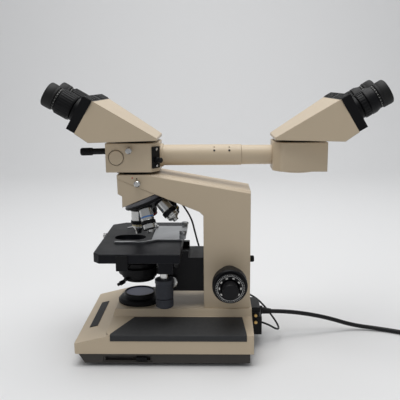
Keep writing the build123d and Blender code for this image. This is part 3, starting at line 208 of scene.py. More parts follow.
@dataclass(frozen=True)
class Finish:
    """One finish of the microscope: a base colour and how its surface varies."""

    name: str
    slot: str
    color: Triple
    rough: float = 0.45
    metallic: float = 0.0
    coat: float = 0.0
    grain: float = 900.0
    depth: float = 0.00004
    mottle: float = 0.06
    wear: float = 0.0
    wear_color: Triple = (0.4, 0.38, 0.34)
    dust: float = 0.0
    edge: float = 0.0009
    turned: float = 0.0
    clear: float = 0.0
    gloss: float = 0.5

    def build(self, effects: Effects) -> bpy.types.Material:
        """Make the material.

        Args:
            effects: the shared node groups.

        Returns:
            The finished material.
        """
        material = bpy.data.materials.new(self.name)
        material.use_nodes = True
        material.node_tree.nodes.clear()
        g = Graph(material.node_tree)
        group = "ShaderNodeGroup"
        grain = g.add(group, node_tree=effects.grain)
        grain.inputs["Scale"].default_value = self.grain
        soft = g.add(group, node_tree=effects.edges)
        soft.inputs["Radius"].default_value = self.edge
        tone = g.math("MULTIPLY", g.math("SUBTRACT", grain.outputs["Mottle"], 0.5), self.mottle * 4)
        base = (*self.color, 1.0)
        dark = tuple(max(0.0, c * DARK_SHARE) for c in self.color) + (1.0,)
        color = g.blend(g.math("ADD", tone, 0.15, clamp=True), base, dark)
        if self.wear:
            share = g.math("MULTIPLY", soft.outputs["Wear"], self.wear)
            color = g.blend(share, color, (*self.wear_color, 1.0))
        rough = g.math("ADD", g.math("MULTIPLY", tone, 0.5), self.rough, clamp=True)
        if self.dust:
            film = g.add(group, node_tree=effects.dust).outputs[0]
            share = g.math("MULTIPLY", film, self.dust)
            color = g.blend(share, color, DUST_COLOR)
            rough = g.math("ADD", rough, share, clamp=True)
        height = grain.outputs["Height"]
        if self.turned:
            marks = g.add(group, node_tree=effects.turning).outputs[0]
            height = g.math("ADD", height, g.math("MULTIPLY", marks, self.turned))
        bump = g.add("ShaderNodeBump", {
            "Strength": 0.6, "Distance": self.depth, "Height": height,
            "Normal": soft.outputs["Normal"]})
        shader = g.add("ShaderNodeBsdfPrincipled", {
            "Base Color": color, "Roughness": rough, "Metallic": self.metallic,
            "Coat Weight": self.coat, "Transmission Weight": self.clear,
            "Specular IOR Level": self.gloss, "Normal": bump.outputs[0]})
        g.add("ShaderNodeOutputMaterial", {"Surface": shader.outputs[0]})
        return material


@dataclass(frozen=True)
class Finishes:
    """Every finish that the pieces choose from."""

    cream: Finish = Finish(
        "cream_enamel", "beige_paint", (0.575, 0.47, 0.335), 0.42, coat=0.08, grain=700,
        depth=0.00006, mottle=0.05, wear=0.25, wear_color=(0.68, 0.6, 0.48), dust=0.04, edge=0.0016,
        gloss=0.4)
    black: Finish = Finish(
        "black_enamel", "black_paint", (0.005, 0.005, 0.006), 0.42, grain=1100, wear=0.4,
        wear_color=(0.09, 0.09, 0.09), dust=0.01, gloss=0.16)
    gunmetal: Finish = Finish(
        "gunmetal", "steel", (0.16, 0.16, 0.17), 0.32, 1.0, grain=1300, mottle=0.08, edge=0.0005)
    stage: Finish = Finish(
        "stage_enamel", "black_paint", (0.007, 0.0075, 0.010), 0.4, grain=1500, mottle=0.1,
        wear=0.6, wear_color=(0.16, 0.16, 0.16), dust=0.01, gloss=0.12)
    plastic: Finish = Finish(
        "black_moulding", "black_plastic", (0.004, 0.004, 0.005), 0.42, grain=1600, dust=0.012,
        gloss=0.2)
    slate: Finish = Finish(
        "slate_moulding", "black_plastic", (0.024, 0.027, 0.036), 0.45, grain=1600, dust=0.03,
        gloss=0.3)
    skirt: Finish = Finish(
        "skirt_moulding", "dark_plastic", (0.055, 0.05, 0.045), 0.55, grain=1300, dust=0.04,
        gloss=0.3)
    pad: Finish = Finish(
        "armrest_rubber", "grey_rubber", (0.030, 0.031, 0.033), 0.6, grain=1400, depth=0.0001,
        dust=0.06, edge=0.0014, gloss=0.3)
    rubber: Finish = Finish(
        "soft_rubber", "black_rubber", (0.008, 0.008, 0.008), 0.58, grain=1200, dust=0.03,
        gloss=0.3)
    jacket: Finish = Finish(
        "cord_jacket", "cord_jacket", (0.008, 0.008, 0.009), 0.42, grain=900, edge=0.0002,
        gloss=0.3)
    chrome: Finish = Finish(
        "satin_chrome", "steel", (0.60, 0.60, 0.59), 0.22, 1.0, grain=1200, mottle=0.08, turned=0.6,
        depth=0.00003, edge=0.0004)
    steel: Finish = Finish(
        "ground_steel", "steel", (0.40, 0.41, 0.42), 0.34, 1.0, grain=1500, mottle=0.12, turned=1.0,
        depth=0.00004, edge=0.0005)
    brass: Finish = Finish("brass", "steel", (0.62, 0.42, 0.16), 0.3, 1.0, turned=0.5, edge=0.0003)
    alloy: Finish = Finish("cast_alloy", "inner_alloy", (0.5, 0.5, 0.5), 0.5, 0.9)
    blue: Finish = Finish(
        "blue_filter_glass", "blue_glass", (0.11, 0.125, 0.27), 0.22, mottle=0.05, grain=300,
        depth=0.00001, edge=0.0004, gloss=0.25)
    lens: Finish = Finish(
        "coated_lens", "lens_glass", (0.03, 0.035, 0.06), 0.06, coat=1.0, mottle=0.05, grain=200,
        depth=0.000005, edge=0.0003)
    prism: Finish = Finish(
        "prism_glass", "lens_glass", (0.5, 0.55, 0.56), 0.08, clear=0.6, edge=0.0003)
    white: Finish = Finish("white_filling", "black_paint", (0.75, 0.74, 0.7), 0.5, edge=0.0002)
    band_blue: Finish = Finish("blue_ring", "steel", (0.05, 0.16, 0.42), 0.35, edge=0.0002)
    band_yellow: Finish = Finish("yellow_ring", "steel", (0.5, 0.38, 0.1), 0.35, edge=0.0002)
    red: Finish = Finish("red_dot", "black_paint", (0.5, 0.03, 0.03), 0.35, edge=0.0002)
    dark: Finish = Finish("slot_shadow", "black_paint", (0.006, 0.006, 0.006), 0.7, edge=0.0002)


class Shop:
    """Makes materials once each, and turns meshes into riding pieces."""

    def __init__(self) -> None:
        """Build the shared shader groups and the repeat trees."""
        self.effects = Effects()
        self.made: dict[str, bpy.types.Material] = {}
        self.count = 0
        self.ring = self._ring_tree()
        self.row = self._row_tree()
        self.heads = self._head_tree()

    def material(self, finish: Finish) -> bpy.types.Material:
        """Material of a finish, built on first use."""
        if finish.name not in self.made:
            self.made[finish.name] = finish.build(self.effects)
        return self.made[finish.name]

    def dress(self, node: str, finish: Finish) -> None:
        """Give a CAD node its finish.

        Args:
            node: name of the CAD node.
            finish: finish that it gets.
        """
        obj = frame["nodes"][node]
        obj.data.materials.clear()
        obj.data.materials.append(self.material(finish))
        LOG.info("dressed %s in %s", node, finish.name)

    def piece(
            self, name: str, mesh: bpy.types.Mesh, body: str, finish: Finish,
            replaces: Sequence[str] = ()) -> bpy.types.Object:
        """Link a mesh as a piece that rides a body.

        Args:
            name: name of the piece.
            mesh: its mesh, with its place in the vertices.
            body: name of the CAD body that it rides.
            finish: its finish.
            replaces: CAD nodes that it stands for.

        Returns:
            The new object.
        """
        mesh.name = name
        mesh.materials.clear()
        mesh.materials.append(self.material(finish))
        mesh.polygons.foreach_set("use_smooth", [True] * len(mesh.polygons))
        mesh.set_sharp_from_angle(angle=SHARP_ANGLE)
        obj = bpy.data.objects.new(name, mesh)
        bpy.context.scene.collection.objects.link(obj)
        if replaces:
            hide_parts(*replaces)
        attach(obj, body)
        self.count += 1
        LOG.info("piece %s on %s", name, body)
        return obj

    # ------------------------------------------------------------ geometry nodes
    @staticmethod
    def _tree(name: str, inputs: dict[str, str]) -> tuple[
            bpy.types.NodeTree, "Graph", bpy.types.Node, bpy.types.Node]:
        """Start a geometry tree with a geometry socket and named inputs.

        Args:
            name: name of the tree.
            inputs: input name to its socket type.

        Returns:
            The tree, its helper, the input node and the output node.
        """
        tree = bpy.data.node_groups.new(name, "GeometryNodeTree")
        tree.interface.new_socket("Geometry", in_out="INPUT", socket_type="NodeSocketGeometry")
        for key, kind in inputs.items():
            tree.interface.new_socket(key, in_out="INPUT", socket_type=kind)
        tree.interface.new_socket("Geometry", in_out="OUTPUT", socket_type="NodeSocketGeometry")
        g = Graph(tree)
        return tree, g, g.add("NodeGroupInput"), g.add("NodeGroupOutput")

    @staticmethod
    def _close(
            g: Graph, start: bpy.types.Node, end: bpy.types.Node,
            made: bpy.types.NodeSocket) -> None:
        """Realize the instances, set the material and wire the output."""
        real = g.add("GeometryNodeRealizeInstances", {0: made})
        paint = g.add("GeometryNodeSetMaterial", {
            0: real.outputs[0], "Material": start.outputs["Material"]})
        g.tree.links.new(paint.outputs[0], end.inputs[0])

    def _ring_tree(self) -> bpy.types.NodeTree:
        """Tree that sets ribs or marks evenly round a ring about local Z."""
        tree, g, start, end = self._tree("ring_of_ribs", {
            "Count": "NodeSocketInt", "Radius": "NodeSocketFloat", "Size": "NodeSocketVector",
            "Material": "NodeSocketMaterial"})
        circle = g.add("GeometryNodeMeshCircle", {
            "Vertices": start.outputs["Count"], "Radius": start.outputs["Radius"]})
        cube = g.add("GeometryNodeMeshCube", {"Size": start.outputs["Size"]})
        step = g.math("DIVIDE", 2 * pi, start.outputs["Count"])
        index = g.add("GeometryNodeInputIndex").outputs[0]
        turn = g.add("ShaderNodeCombineXYZ", {2: g.math("MULTIPLY", step, index)}).outputs[0]
        put = g.add("GeometryNodeInstanceOnPoints", {
            "Points": circle.outputs[0], "Instance": cube.outputs[0], "Rotation": turn})
        self._close(g, start, end, put.outputs[0])
        return tree

    def _row_tree(self) -> bpy.types.NodeTree:
        """Tree that sets bars evenly along local X, centred."""
        tree, g, start, end = self._tree("row_of_bars", {
            "Count": "NodeSocketInt", "Pitch": "NodeSocketFloat", "Size": "NodeSocketVector",
            "Material": "NodeSocketMaterial"})
        span = g.math(
            "MULTIPLY", g.math("SUBTRACT", start.outputs["Count"], 1.0), start.outputs["Pitch"])
        first = g.add("ShaderNodeCombineXYZ", {0: g.math("MULTIPLY", span, -0.5)}).outputs[0]
        stride = g.add("ShaderNodeCombineXYZ", {0: start.outputs["Pitch"]}).outputs[0]
        line = g.add("GeometryNodeMeshLine", {
            "Count": start.outputs["Count"], "Start Location": first, "Offset": stride})
        cube = g.add("GeometryNodeMeshCube", {"Size": start.outputs["Size"]})
        put = g.add("GeometryNodeInstanceOnPoints", {
            "Points": line.outputs[0], "Instance": cube.outputs[0]})
        self._close(g, start, end, put.outputs[0])
        return tree

    def _head_tree(self) -> bpy.types.NodeTree:
        """Tree that sets a round screw head on each point of the input."""
        tree, g, start, end = self._tree("screw_heads", {
            "Radius": "NodeSocketFloat", "Height": "NodeSocketFloat",
            "Material": "NodeSocketMaterial"})
        low = g.add("GeometryNodeMeshCone", {
            "Vertices": 20, "Radius Top": start.outputs["Radius"],
            "Radius Bottom": start.outputs["Radius"], "Depth": start.outputs["Height"]})
        top_r = g.math("MULTIPLY", start.outputs["Radius"], 0.7)
        crown = g.add("GeometryNodeMeshCone", {
            "Vertices": 20, "Radius Top": top_r, "Radius Bottom": start.outputs["Radius"],
            "Depth": g.math("MULTIPLY", start.outputs["Height"], 0.4)})
        lift = g.add("ShaderNodeCombineXYZ", {2: start.outputs["Height"]}).outputs[0]
        up = g.add("GeometryNodeTransform", {0: crown.outputs[0], "Translation": lift})
        both = g.add("GeometryNodeJoinGeometry")
        g.tree.links.new(low.outputs[0], both.inputs[0])
        g.tree.links.new(up.outputs[0], both.inputs[0])
        put = g.add("GeometryNodeInstanceOnPoints", {
            "Points": start.outputs["Geometry"], "Instance": both.outputs[0]})
        self._close(g, start, end, put.outputs[0])
        return tree

    def grow(
            self, tree: bpy.types.NodeTree, values: dict[str, object], matrix: Matrix,
            finish: Finish, points: Sequence[Triple] = ((0, 0, 0),)) -> bpy.types.Mesh:
        """Evaluate a repeat tree and return its plain mesh.

        Args:
            tree: the geometry tree.
            values: input name to value.
            matrix: place of the local frame in the row frame.
            finish: finish whose material the tree sets.
            points: vertices of the input mesh, in the local frame.

        Returns:
            The mesh, moved to its place.
        """
        seed = bpy.data.meshes.new("seed")
        seed.from_pydata([tuple(p) for p in points], [], [])
        host = bpy.data.objects.new("host", seed)
        bpy.context.scene.collection.objects.link(host)
        modifier = host.modifiers.new("repeat", "NODES")
        modifier.node_group = tree
        values = dict(values, Material=self.material(finish))
        for item in tree.interface.items_tree:
            if item.in_out == "INPUT" and item.name in values:
                modifier[item.identifier] = values[item.name]
        shown = host.evaluated_get(bpy.context.evaluated_depsgraph_get())
        mesh = bpy.data.meshes.new_from_object(shown)
        host.modifiers.remove(modifier)
        bpy.data.objects.remove(host)
        mesh.transform(matrix)
        return mesh

    def ribs(
            self, name: str, body: str, finish: Finish, matrix: Matrix, count: int, radius: float,
            size: Triple) -> None:
        """Ring of ribs about the local Z of a matrix, sizes in metres (out, round, along)."""
        mesh = self.grow(
            self.ring, {"Count": count, "Radius": radius, "Size": size}, matrix, finish)
        self.piece(name, mesh, body, finish)

    def bars(
            self, name: str, body: str, finish: Finish, matrix: Matrix, count: int, pitch: float,
            size: Triple) -> None:
        """Row of bars along the local X of a matrix, sizes in metres."""
        mesh = self.grow(self.row, {"Count": count, "Pitch": pitch, "Size": size}, matrix, finish)
        self.piece(name, mesh, body, finish)

    def screws(
            self, name: str, body: str, finish: Finish, matrix: Matrix, radius: float,
            height: float, points: Sequence[Triple]) -> None:
        """Screw heads on points of the local frame of a matrix."""
        mesh = self.grow(self.heads, {"Radius": radius, "Height": height}, matrix, finish, points)
        self.piece(name, mesh, body, finish)

    def _cast(
            self, bm: bmesh.types.BMesh, name: str, body: str, finish: Finish, matrix: Matrix,
            replaces: Sequence[str]) -> bpy.types.Object:
        """Turn an edited mesh into a piece at its place."""
        mesh = bpy.data.meshes.new(name)
        bm.to_mesh(mesh)
        bm.free()
        mesh.transform(matrix)
        return self.piece(name, mesh, body, finish, replaces)

    def lathe(
            self, name: str, body: str, finish: Finish, matrix: Matrix, outline: Outline,
            steps: int = LATHE_STEPS, replaces: Sequence[str] = ()) -> bpy.types.Object:
        """Turned piece about the local Z of a matrix.

        Args:
            name: name of the piece.
            body: body that it rides.
            finish: its finish.
            matrix: place of its axis.
            outline: (radius, height) corners in millimetres, a closed loop.
            steps: number of faces round the axis.
            replaces: CAD nodes that it stands for.

        Returns:
            The piece.
        """
        bm = bmesh.new()
        rings = []
        for radius, height in outline:
            if radius <= 0:
                rings.append([bm.verts.new((0, 0, height * MM))])
            else:
                rings.append([
                    bm.verts.new(
                        (
                            radius * MM * cos(2 * pi * i / steps),
                            radius * MM * sin(2 * pi * i / steps),
                            height * MM)) for i in range(steps)])
        pairs = list(zip(rings, rings[1:] + rings[:1]))
        for low, high in pairs:
            if len(low) == 1 and len(high) == 1:
                continue
            for i in range(steps):
                j = (i + 1) % steps
                corners = [
                    low[i % len(low)], low[j % len(low)], high[j % len(high)], high[i % len(high)]]
                unique = list(dict.fromkeys(corners))
                if len(unique) > 2:
                    bm.faces.new(unique)
        bmesh.ops.recalc_face_normals(bm, faces=bm.faces)
        return self._cast(bm, name, body, finish, matrix, replaces)

    def slab(
            self, name: str, body: str, finish: Finish, matrix: Matrix, size: Triple,
            round_by: float, replaces: Sequence[str] = ()) -> bpy.types.Object:
        """Block with rounded edges, centred on the origin of a matrix, sizes in metres."""
        bm = bmesh.new()
        bmesh.ops.create_cube(bm, size=1.0)
        bmesh.ops.scale(bm, vec=size, verts=bm.verts)
        bmesh.ops.bevel(
            bm, geom=bm.edges, offset=round_by, offset_type="OFFSET", segments=3, profile=0.5,
            affect="EDGES", clamp_overlap=True)
        return self._cast(bm, name, body, finish, matrix, replaces)


def place(
        origin: Sequence[float], axis: Sequence[float],
        across: Sequence[float] = (0, 1, 0)) -> Matrix:
    """Matrix whose local Z runs along an axis and whose local X leans to a given direction.

    Args:
        origin: where the local origin lies.
        axis: direction of local Z.
        across: direction that local X is nearest to.

    Returns:
        The 4 by 4 matrix.
    """
    z = Vector(axis).normalized()
    x = Vector(across)
    if abs(x.normalized().dot(z)) > NEARLY_PARALLEL:
        x = Vector((1, 0, 0)) if abs(z.x) < 0.9 else Vector((0, 0, 1))
    x = (x - z * x.dot(z)).normalized()
    rows = Matrix((x, z.cross(x), z)).transposed().to_4x4()
    return Matrix.Translation(Vector(origin)) @ rows


def tag_of(y: float) -> str:
    """Name of the side that a place or a direction along Y is on."""
    return "near" if y < 0 else "far"


def joint(name: str) -> tuple[Vector, Vector]:
    """Position and axis of a joint of the record."""
    found = next(j for j in frame["joints"] if j["name"] == name)
    return Vector(found.get("pos_m", (0, 0, 0))), Vector(found["axis"])


# ------------------------------------------------------------------- sub-assemblies
@dataclass
class BaseUnit:
    """Base casting, skirt, pads, lamp exit, rear terminal block and cords' fittings."""

    shop: Shop
    finishes: Finishes
    collar_ribs: int = 60
    block_ribs: int = 13

    def build(self) -> None:
        """Dress the base's nodes and add its trim."""
        f, shop = self.finishes, self.shop
        for node, finish in {
                "base_casting": f.cream, "base_skirt": f.skirt, "armrest_pads": f.pad,
                "rubber_feet": f.rubber, "front_plate": f.black, "field_lens_collar": f.black,
                "filter_and_lens": f.blue, "lamp_unit": f.alloy, "light_slider": f.plastic,
                "lamp_socket_block": f.plastic, "strain_relief": f.rubber}.items():
            shop.dress(node, finish)
        low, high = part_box("field_lens_collar")
        middle = (low + high) / 2
        shop.ribs(
            "collar_grip", "base", f.plastic, place((middle.x, middle.y, 0.0625 + MM), (0, 0, 1)),
            self.collar_ribs, 0.0319, (0.0006, 0.0012, 0.0024))
        shop.lathe("filter_rim", "base", f.black, place((middle.x, 0, high.z), (0, 0, 1)), [
            (20.6, -2.0), (20.6, 0.2), (21.2, 0.5), (22.8, 0.4), (23.2, -0.4), (23.2, -2.0)])
        self._front()
        self._rear()
        self._pads()

    def _front(self) -> None:
        """Rocker switch on the front edge and the scale by the lamp slider."""
        f, shop = self.finishes, self.shop
        low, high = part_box("base_casting")
        at = Matrix.Translation((low.x + 0.0003, 0.070, low.z + 0.009))
        shop.slab("rocker_frame", "base", f.black, at, (0.0012, 0.014, 0.008), 0.0004)
        shop.slab(
            "rocker_key", "base", f.plastic,
            Matrix.Translation((low.x - 0.0003, 0.070, low.z + 0.009)), (0.0016, 0.010, 0.0055),
            0.0006)
        skirt_low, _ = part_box("base_skirt")
        slider_low, slider_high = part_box("light_slider")
        middle = (slider_low + slider_high) / 2
        matrix = place(
            (middle.x - 0.019, skirt_low.y + 0.0014, slider_high.z + 0.0021), (0, -1, 0), (1, 0, 0))
        shop.bars("light_scale", "base", f.white, matrix, 9, 0.0055, (0.0005, 0.0013, 0.0003))

    def _pads(self) -> None:
        """Raised lip along the outer edge of both armrest pads."""
        low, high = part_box("armrest_pads")
        for side in (-1, 1):
            y = low.y + 0.0022 if side < 0 else high.y - 0.0022
            at = Matrix.Translation(((low.x + high.x) / 2, y, low.z + 0.0036))
            self.shop.slab(
                f"pad_lip_{tag_of(side)}", "base", self.finishes.pad, at,
                (high.x - low.x - 0.006, 0.0030, 0.0044), 0.0012)

    def _rear(self) -> None:
        """Ribs, brass terminals and cord clamp of the rear block."""
        f, shop = self.finishes, self.shop
        low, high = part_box("lamp_socket_block")
        middle = (low + high) / 2
        matrix = place((high.x - 0.0002, 0.0, low.z + 0.0125), (1, 0, 0), (0, 1, 0))
        shop.bars(
            "block_fins", "base", f.plastic, matrix, self.block_ribs, 0.0048,
            (0.0016, 0.022, 0.0012))
        side = place((low.x + 0.006, low.y - 0.0003 + 0.0023, middle.z), (0, -1, 0), (1, 0, 0))
        shop.screws("terminal_screws", "base", f.brass, side, 0.0024, 0.0012, [
            (0, 0.0095, 0.0002), (0, 0.0000, 0.0024)])
        relief_low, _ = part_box("strain_relief")
        start = Vector((relief_low.x + 0.001, 0.008, 0.041))
        shop.ribs(
            "relief_ribs", "base", f.rubber,
            place(start + Vector((0.0013, 0, 0)), (1, 0.09, -0.13)), 18, 0.0064,
            (0.0008, 0.0011, 0.003))


@dataclass
class StandUnit:
    """Arm, nosepiece mount and their clamps."""

    shop: Shop
    finishes: Finishes

    def build(self) -> None:
        """Dress the arm and add screws, a mark and a dark disc painted as the shade inside a small
        hole.
        """
        f, shop = self.finishes, self.shop
        for node, finish in {
                "arm_casting": f.cream, "nosepiece_mount": f.cream, "arm_clamp_screw": f.chrome,
                "rear_lock_knob": f.plastic}.items():
            shop.dress(node, finish)
        shop.ribs(
            "arm_clamp_knurl", "arm_screw", f.chrome, self._head("arm_clamp_turn", 0.0055), 28,
            0.0044, (0.0004, 0.0005, 0.0050))
        shop.ribs(
            "rear_knob_knurl", "rear_knob", f.plastic, self._head("rear_lock_turn", 0.0045), 26,
            0.0046, (0.0004, 0.0006, 0.0040))
        pos, axis = joint("arm_clamp_turn")
        dot = place((pos.x - 0.0073, pos.y + 0.0001, pos.z + 0.0075), axis)
        shop.lathe(
            "alignment_dot", "base", f.red, dot, [(0, 0), (1.1, 0), (1.0, 0.3), (0, 0.4)], 20)
        # Flat dark disc painted as the shade inside a small hole.
        hole = place((pos.x - 0.0012, pos.y + 0.0001, pos.z + 0.0062), axis)
        shop.lathe(
            "stop_hole", "base", f.dark, hole, [(0, 0), (1.0, 0), (1.0, 0.15), (0, 0.15)], 20)

    @staticmethod
    def _head(name: str, out: float) -> Matrix:
        """Place on a screw's axis, a distance out from its seat."""
        pos, axis = joint(name)
        return place(pos + axis.normalized() * out, axis)


@dataclass
class FocusUnit:
    """Coaxial focus knobs on both sides."""

    shop: Shop
    finishes: Finishes
    arm_half: float = 35.0
    rim: tuple[float, float] = (25.5, 44.5)
    scale_end: float = 51.0
    marks: int = 50

    def build(self) -> None:
        """Dress the knobs, then add the knurls, the bright ring and its marks."""
        f, shop = self.finishes, self.shop
        shop.dress("coarse_knobs", f.plastic)
        shop.dress("fine_knobs", f.plastic)
        pos, _ = joint("coarse_focus")
        for side in (-1, 1):
            tag = tag_of(side)
            out = Vector((0, side, 0))
            base = pos + out * self.arm_half * MM
            mid = sum(self.rim) / 2
            shop.ribs(
                f"coarse_knurl_{tag}", "coarse_knob", f.plastic, place(base + out * mid * MM, out),
                84, 0.0239, (0.0007, 0.0010, 0.0150))
            ring = place(base, out)
            e = self.scale_end
            shop.lathe(f"scale_ring_{tag}", "coarse_knob", f.plastic, ring, [
                (16.2, e - 0.6), (16.6, e + 0.15), (19.6, e + 0.15), (20.15, e - 0.4),
                (20.15, e - 3.2), (19.9, e - 3.4), (19.9, e - 1.0), (16.2, e - 1.0)])
            shop.ribs(
                f"scale_marks_{tag}", "coarse_knob", f.chrome,
                place(base + out * (e + 0.15) * MM, out), self.marks, 0.0192,
                (0.0009, 0.0007, 0.0003))
            shop.lathe(f"scale_face_{tag}", "coarse_knob", f.black, ring, [
                (11.3, e - 2.6), (16.1, e - 2.6), (16.1, e - 0.1), (13.2, e - 0.1), (12.0, e - 1.6),
                (11.3, e - 2.0)])
            shop.ribs(
                f"scale_ticks_{tag}", "coarse_knob", f.white,
                place(base + out * (e - 0.05) * MM, out), 10, 0.0146, (0.0016, 0.0030, 0.0006))
            shop.lathe(f"scale_trim_{tag}", "coarse_knob", f.chrome, ring, [
                (17.0, e - 0.4), (17.0, e + 0.25), (17.5, e + 0.25), (17.5, e - 0.4)])
            shop.ribs(
                f"fine_knurl_{tag}", "fine_knob", f.plastic,
                place(base + out * (e + 8.4) * MM, out), 48, 0.0109, (0.0007, 0.0007, 0.0130))


@dataclass
class StageUnit:
    """Stage with its carrier, holder, coaxial knobs and condenser."""

    shop: Shop
    finishes: Finishes

    def build(self) -> None:
        """Dress the stage's nodes and add knurls, screws and scales."""
        f, shop = self.finishes, self.shop
        for node, finish in {
                "stage_carrier": f.black, "stage_plate": f.stage, "stage_y_knob": f.slate,
                "stage_x_knob": f.slate, "specimen_holder": f.steel, "holder_finger": f.chrome,
                "stage_screw": f.chrome, "condenser_carrier": f.black, "condenser_body": f.black,
                "iris_lever": f.plastic, "condenser_knobs": f.chrome}.items():
            shop.dress(node, finish)
        self._knobs()
        self._holder()
        self._condenser()

    def _knobs(self) -> None:
        """Knurls, shaft sleeve and flange of the coaxial stage knobs."""
        f, shop = self.finishes, self.shop
        pos, _ = joint("stage_travel_knob")
        up = (0, 0, 1)
        low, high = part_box("stage_x_knob")
        ylow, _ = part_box("stage_y_knob")
        r = (high.x - low.x) / 2
        shop.ribs(
            "y_knob_knurl", "y_knob", f.slate, place((pos.x, pos.y, ylow.z + 0.010), up), 44,
            r - 0.0001, (0.0006, 0.0008, 0.018))
        shop.ribs(
            "x_knob_knurl", "x_knob", f.slate, place((pos.x, pos.y, low.z + 0.0072), up), 44,
            r - 0.0001, (0.0006, 0.0008, 0.0095))
        seat = place((pos.x, pos.y, ylow.z), up)
        k = r / MM
        shop.lathe(
            "knob_shaft_sleeve", "y_knob", f.chrome, seat,
            [(4.9, 28.1), (5.6, 28.1), (5.6, 37.0), (4.9, 37.0)], 40)
        shop.lathe("knob_flange", "y_knob", f.slate, seat, [
            (5.6, 27.1), (k + 0.1, 27.1), (k + 0.9, 26.3), (k + 0.9, 21.9), (k, 21.4), (5.6, 21.4)])

    def _holder(self) -> None:
        """Clamp screws, vernier scale, finger pivot and stop screw knurl of the specimen holder."""
        f, shop = self.finishes, self.shop
        low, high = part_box("specimen_holder")
        _, plate_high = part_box("stage_plate")
        up = (0, 0, 1)
        for y in (low.y + 0.025, high.y - 0.014):
            shop.ribs(
                f"clamp_knurl_{tag_of(y)}", "holder", f.chrome,
                place((high.x - 0.0045, y, high.z - 0.0022), up), 24, 0.0050,
                (0.0004, 0.0006, 0.0030))
        scale = place((plate_high.x - 0.003, 0.02, plate_high.z + 0.0001), up, (0, 1, 0))
        shop.bars("travel_scale", "stage", f.white, scale, 41, 0.002, (0.0003, 0.0022, 0.0002))
        pin, _ = joint("finger_open")
        shop.screws(
            "finger_pivot", "holder", f.chrome, place((pin.x, pin.y, high.z - 0.0066), up), 0.0034,
            0.0012, [(0, 0, 0)])
        stop, axis = joint("stop_screw_turn")
        shop.ribs(
            "stop_screw_knurl", "stop_screw", f.chrome, place(stop + axis * 0.0042, axis), 20,
            0.0034, (0.0004, 0.0005, 0.0040))

    def _condenser(self) -> None:
        """Knurl, ring and top lens of the condenser, and the knobs' knurls."""
        f, shop = self.finishes, self.shop
        pos, _ = joint("iris_turn")
        up = (0, 0, 1)
        low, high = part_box("condenser_body")
        rim = high.x - pos.x
        shop.ribs(
            "condenser_knurl", "condenser", f.black, place((pos.x, 0, pos.z + 0.0045), up), 90,
            rim - 0.0001, (0.0006, 0.0009, 0.0050))
        k = rim / MM
        shop.lathe("condenser_trim", "condenser", f.black, place((pos.x, 0, low.z), up), [
            (k - 0.4, 21.0), (k + 0.1, 21.0), (k + 0.1, 22.0), (k - 0.4, 22.0)])
        shop.lathe(
            "condenser_top_lens", "condenser", f.lens, place((pos.x, 0, 0), up),
            [
                (0, high.z / MM - 1.2), (8.6, high.z / MM - 1.2), (8.6, high.z / MM - 0.6),
                (6, high.z / MM), (0, high.z / MM + 0.2)],
            40)
        knob, _ = joint("condenser_knob_turn")
        low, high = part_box("condenser_knobs")
        rim = (high.z - low.z) / 2
        for side in (-1, 1):
            shop.ribs(
                f"condenser_knob_knurl_{tag_of(side)}", "condenser_knob", f.chrome,
                place((knob.x, side * (high.y - 0.005), knob.z), (0, 1, 0)), 40, rim,
                (0.0005, 0.0007, 0.0075))


@dataclass(frozen=True)
class Objective:
    """One objective's ring details, distances along its axis in millimetres."""

    name: str
    index: int
    knurl: Triple
    band: Triple
    ring: Finish
    barrel: Finish
    grip: Finish


@dataclass
class TurretUnit:
    """Turret with its grip ring and five objectives."""

    shop: Shop
    finishes: Finishes
    seat_radius: float = 0.0215
    tilt: float = 22.5
    places: int = 5

    def seat(self, index: int) -> Matrix:
        """Place on an objective's axis with local Z pointing to its tip.

        Args:
            index: number of the seat, 0 over the specimen.

        Returns:
            The matrix.
        """
        centre, down = joint("turret_turn")
        down = down.normalized()
        across = Vector((-down.z, 0, down.x))
        phi = 2 * pi * index / self.places
        out = across * -cos(phi) + Vector((0, -sin(phi), 0))
        lean = down * cos(radians(self.tilt)) + out * sin(radians(self.tilt))
        return place(centre + out * self.seat_radius, lean)

    def build(self) -> None:
        """Dress the turret and put rings on the objectives."""
        f, shop = self.finishes, self.shop
        shop.dress("turret", f.black)
        shop.dress("turret_grip_ring", f.gunmetal)
        centre, down = joint("turret_turn")
        shop.ribs(
            "turret_knurl", "turret", f.gunmetal, place(centre - down * 0.01335, down), 96, 0.0352,
            (0.0009, 0.0013, 0.0046))
        rings = [
            Objective(
                "objective_low", 0, (14.5, 19.5, 10.1), (21.0, 22.4, 8.8), f.band_yellow, f.chrome,
                f.plastic),
            Objective(
                "objective_high", 1, (17.4, 22.4, 10.1), (11.0, 13.2, 9.4), f.band_blue, f.chrome,
                f.plastic),
            Objective(
                "objective_oil", 2, (15.8, 22.6, 10.4), (26.0, 27.2, 8.6), f.white, f.chrome,
                f.plastic),
            Objective(
                "objective_medium", 3, (12.0, 17.0, 9.8), (23.0, 24.4, 8.6), f.band_yellow, f.black,
                f.black),
            Objective(
                "objective_scan", 4, (5.0, 9.0, 9.8), (16.0, 17.2, 8.0), f.red, f.black, f.black),]
        for o in rings:
            self._objective(o)

    def _objective(self, o: Objective) -> None:
        """Dress one objective and add its grip, knurl and band."""
        self.shop.dress(o.name, o.barrel)
        at = self.seat(o.index)
        a, b, r = o.knurl
        self.shop.lathe(
            f"{o.name}_grip", "turret", o.grip, at,
            [
                (r - 0.4, a), (r + 0.05, a), (r + 0.15, a + 0.4), (r + 0.15, b - 0.4),
                (r + 0.05, b), (r - 0.4, b)],
            56)
        self.shop.ribs(
            f"{o.name}_knurl", "turret", o.grip, at @ Matrix.Translation((0, 0, (a + b) / 2 * MM)),
            40, (r + 0.1) * MM, (0.0005, 0.0008, (b - a - 1) * MM))
        a, b, r = o.band
        self.shop.lathe(
            f"{o.name}_band", "turret", o.ring, at,
            [(r - 0.3, a), (r + 0.1, a), (r + 0.1, b), (r - 0.3, b)], 56)


